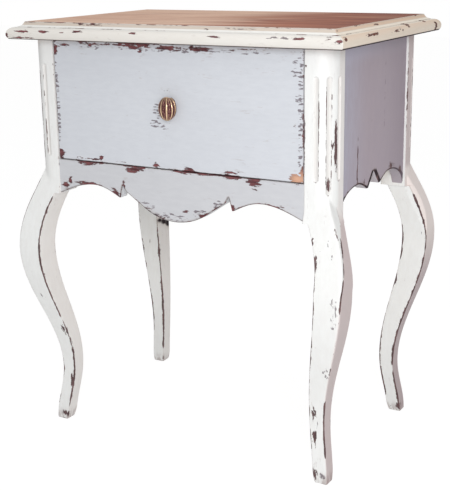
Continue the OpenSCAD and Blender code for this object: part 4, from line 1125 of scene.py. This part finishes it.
def floor_material():
    """A pale floor. The camera and reflections see it mostly as an even white glow, so only a faint
    shadow of the object lies on it."""
    material, s, shader = new_material("pale floor")
    shader.inputs["Base Color"].default_value = linear(236, 236, 236)
    shader.inputs["Roughness"].default_value = 0.9
    glow = s.add("ShaderNodeEmission", {"Color": (1, 1, 1, 1), "Strength": 1.15})
    path = s.node("ShaderNodeLightPath", {}).outputs
    seen = s.math("ADD", path["Is Camera Ray"], path["Is Glossy Ray"])
    seen = s.math("ADD", seen, path["Is Transmission Ray"], clamp=True)
    share = s.math("MULTIPLY", seen, 0.78)
    blend = s.add("ShaderNodeMixShader", {0: share, 1: shader.outputs[0], 2: glow})
    output = next(n for n in s.tree.nodes if n.type == "OUTPUT_MATERIAL")
    s.tree.links.new(blend, output.inputs[0])
    return material


def pale_floor(half, z):
    """A square sheet round the origin."""
    corners = [(-half, -half, z), (half, -half, z), (half, half, z), (-half, half, z)]
    mesh = bpy.data.meshes.new("floor")
    mesh.from_pydata(corners, [], [(0, 1, 2, 3)])
    mesh.materials.append(floor_material())
    sheet = bpy.data.objects.new("floor", mesh)
    bpy.context.scene.collection.objects.link(sheet)


def white_world(light, seen):
    """Even light of that strength from all round, seen as white by the camera and through clear surfaces."""
    world = bpy.data.worlds.new("white studio")
    bpy.context.scene.world = world
    world.use_nodes = True
    world.node_tree.nodes.clear()
    s = Steps(world.node_tree)
    path = s.node("ShaderNodeLightPath", {}).outputs
    shown = s.math("ADD", path["Is Camera Ray"], path["Is Transmission Ray"], clamp=True)
    sky = s.add("ShaderNodeBackground", {"Color": (1, 1, 1, 1), "Strength": s.ramp(shown, 0, 1, light, seen)})
    s.node("ShaderNodeOutputWorld", {"Surface": sky})


def set_up(name, data, right, up, back, place):
    """A lamp or camera whose own X, Y and Z point right, up and back, at place."""
    made = bpy.data.objects.new(name, data)
    made.matrix_world = Matrix([*np.column_stack([right, up, back, place]).tolist(), [0, 0, 0, 1]])
    bpy.context.scene.collection.objects.link(made)
    return made


def soft_lamp(name, place, aim, size, power):
    """A square area lamp at place, in metres, that points at aim."""
    lamp = bpy.data.lights.new(name, "AREA")
    lamp.shape, lamp.size, lamp.energy = "SQUARE", size, power
    back = np.array(place, float) - np.array(aim, float)
    back /= np.linalg.norm(back)
    right = np.cross((0, 0, 1), back)
    right /= np.linalg.norm(right)
    set_up(name, lamp, right, np.cross(back, right), back, place)


def camera():
    """The camera of the photograph: level, turned by yaw and pitch, then rolled."""
    yaw, pitch, roll = np.radians([CAMERA_YAW, CAMERA_PITCH, CAMERA_ROLL])
    ahead = np.array([-math.sin(yaw) * math.cos(pitch), math.cos(yaw) * math.cos(pitch), -math.sin(pitch)])
    level = np.array([math.cos(yaw), math.sin(yaw), 0])
    upright = np.cross(level, ahead)
    right = level * math.cos(roll) + upright * math.sin(roll)
    up = upright * math.cos(roll) - level * math.sin(roll)
    lens = bpy.data.cameras.new("camera")
    lens.sensor_fit, lens.sensor_width, lens.lens = "AUTO", SENSOR_MM, LENS_MM
    bpy.context.scene.camera = set_up("camera", lens, right, up, -ahead, CAMERA_PLACE)


pale_floor(8.0, -0.0002)
white_world(0.492, 1.0)
soft_lamp("key", (0.96, -1.52, 0.95), (0, 0, 0.6), 0.7, 17.1)
soft_lamp("overhead", (0.1, -0.15, 2.1), (0, 0, 0.42), 1.2, 7)
camera()
bpy.context.scene.view_settings.view_transform = "Standard"
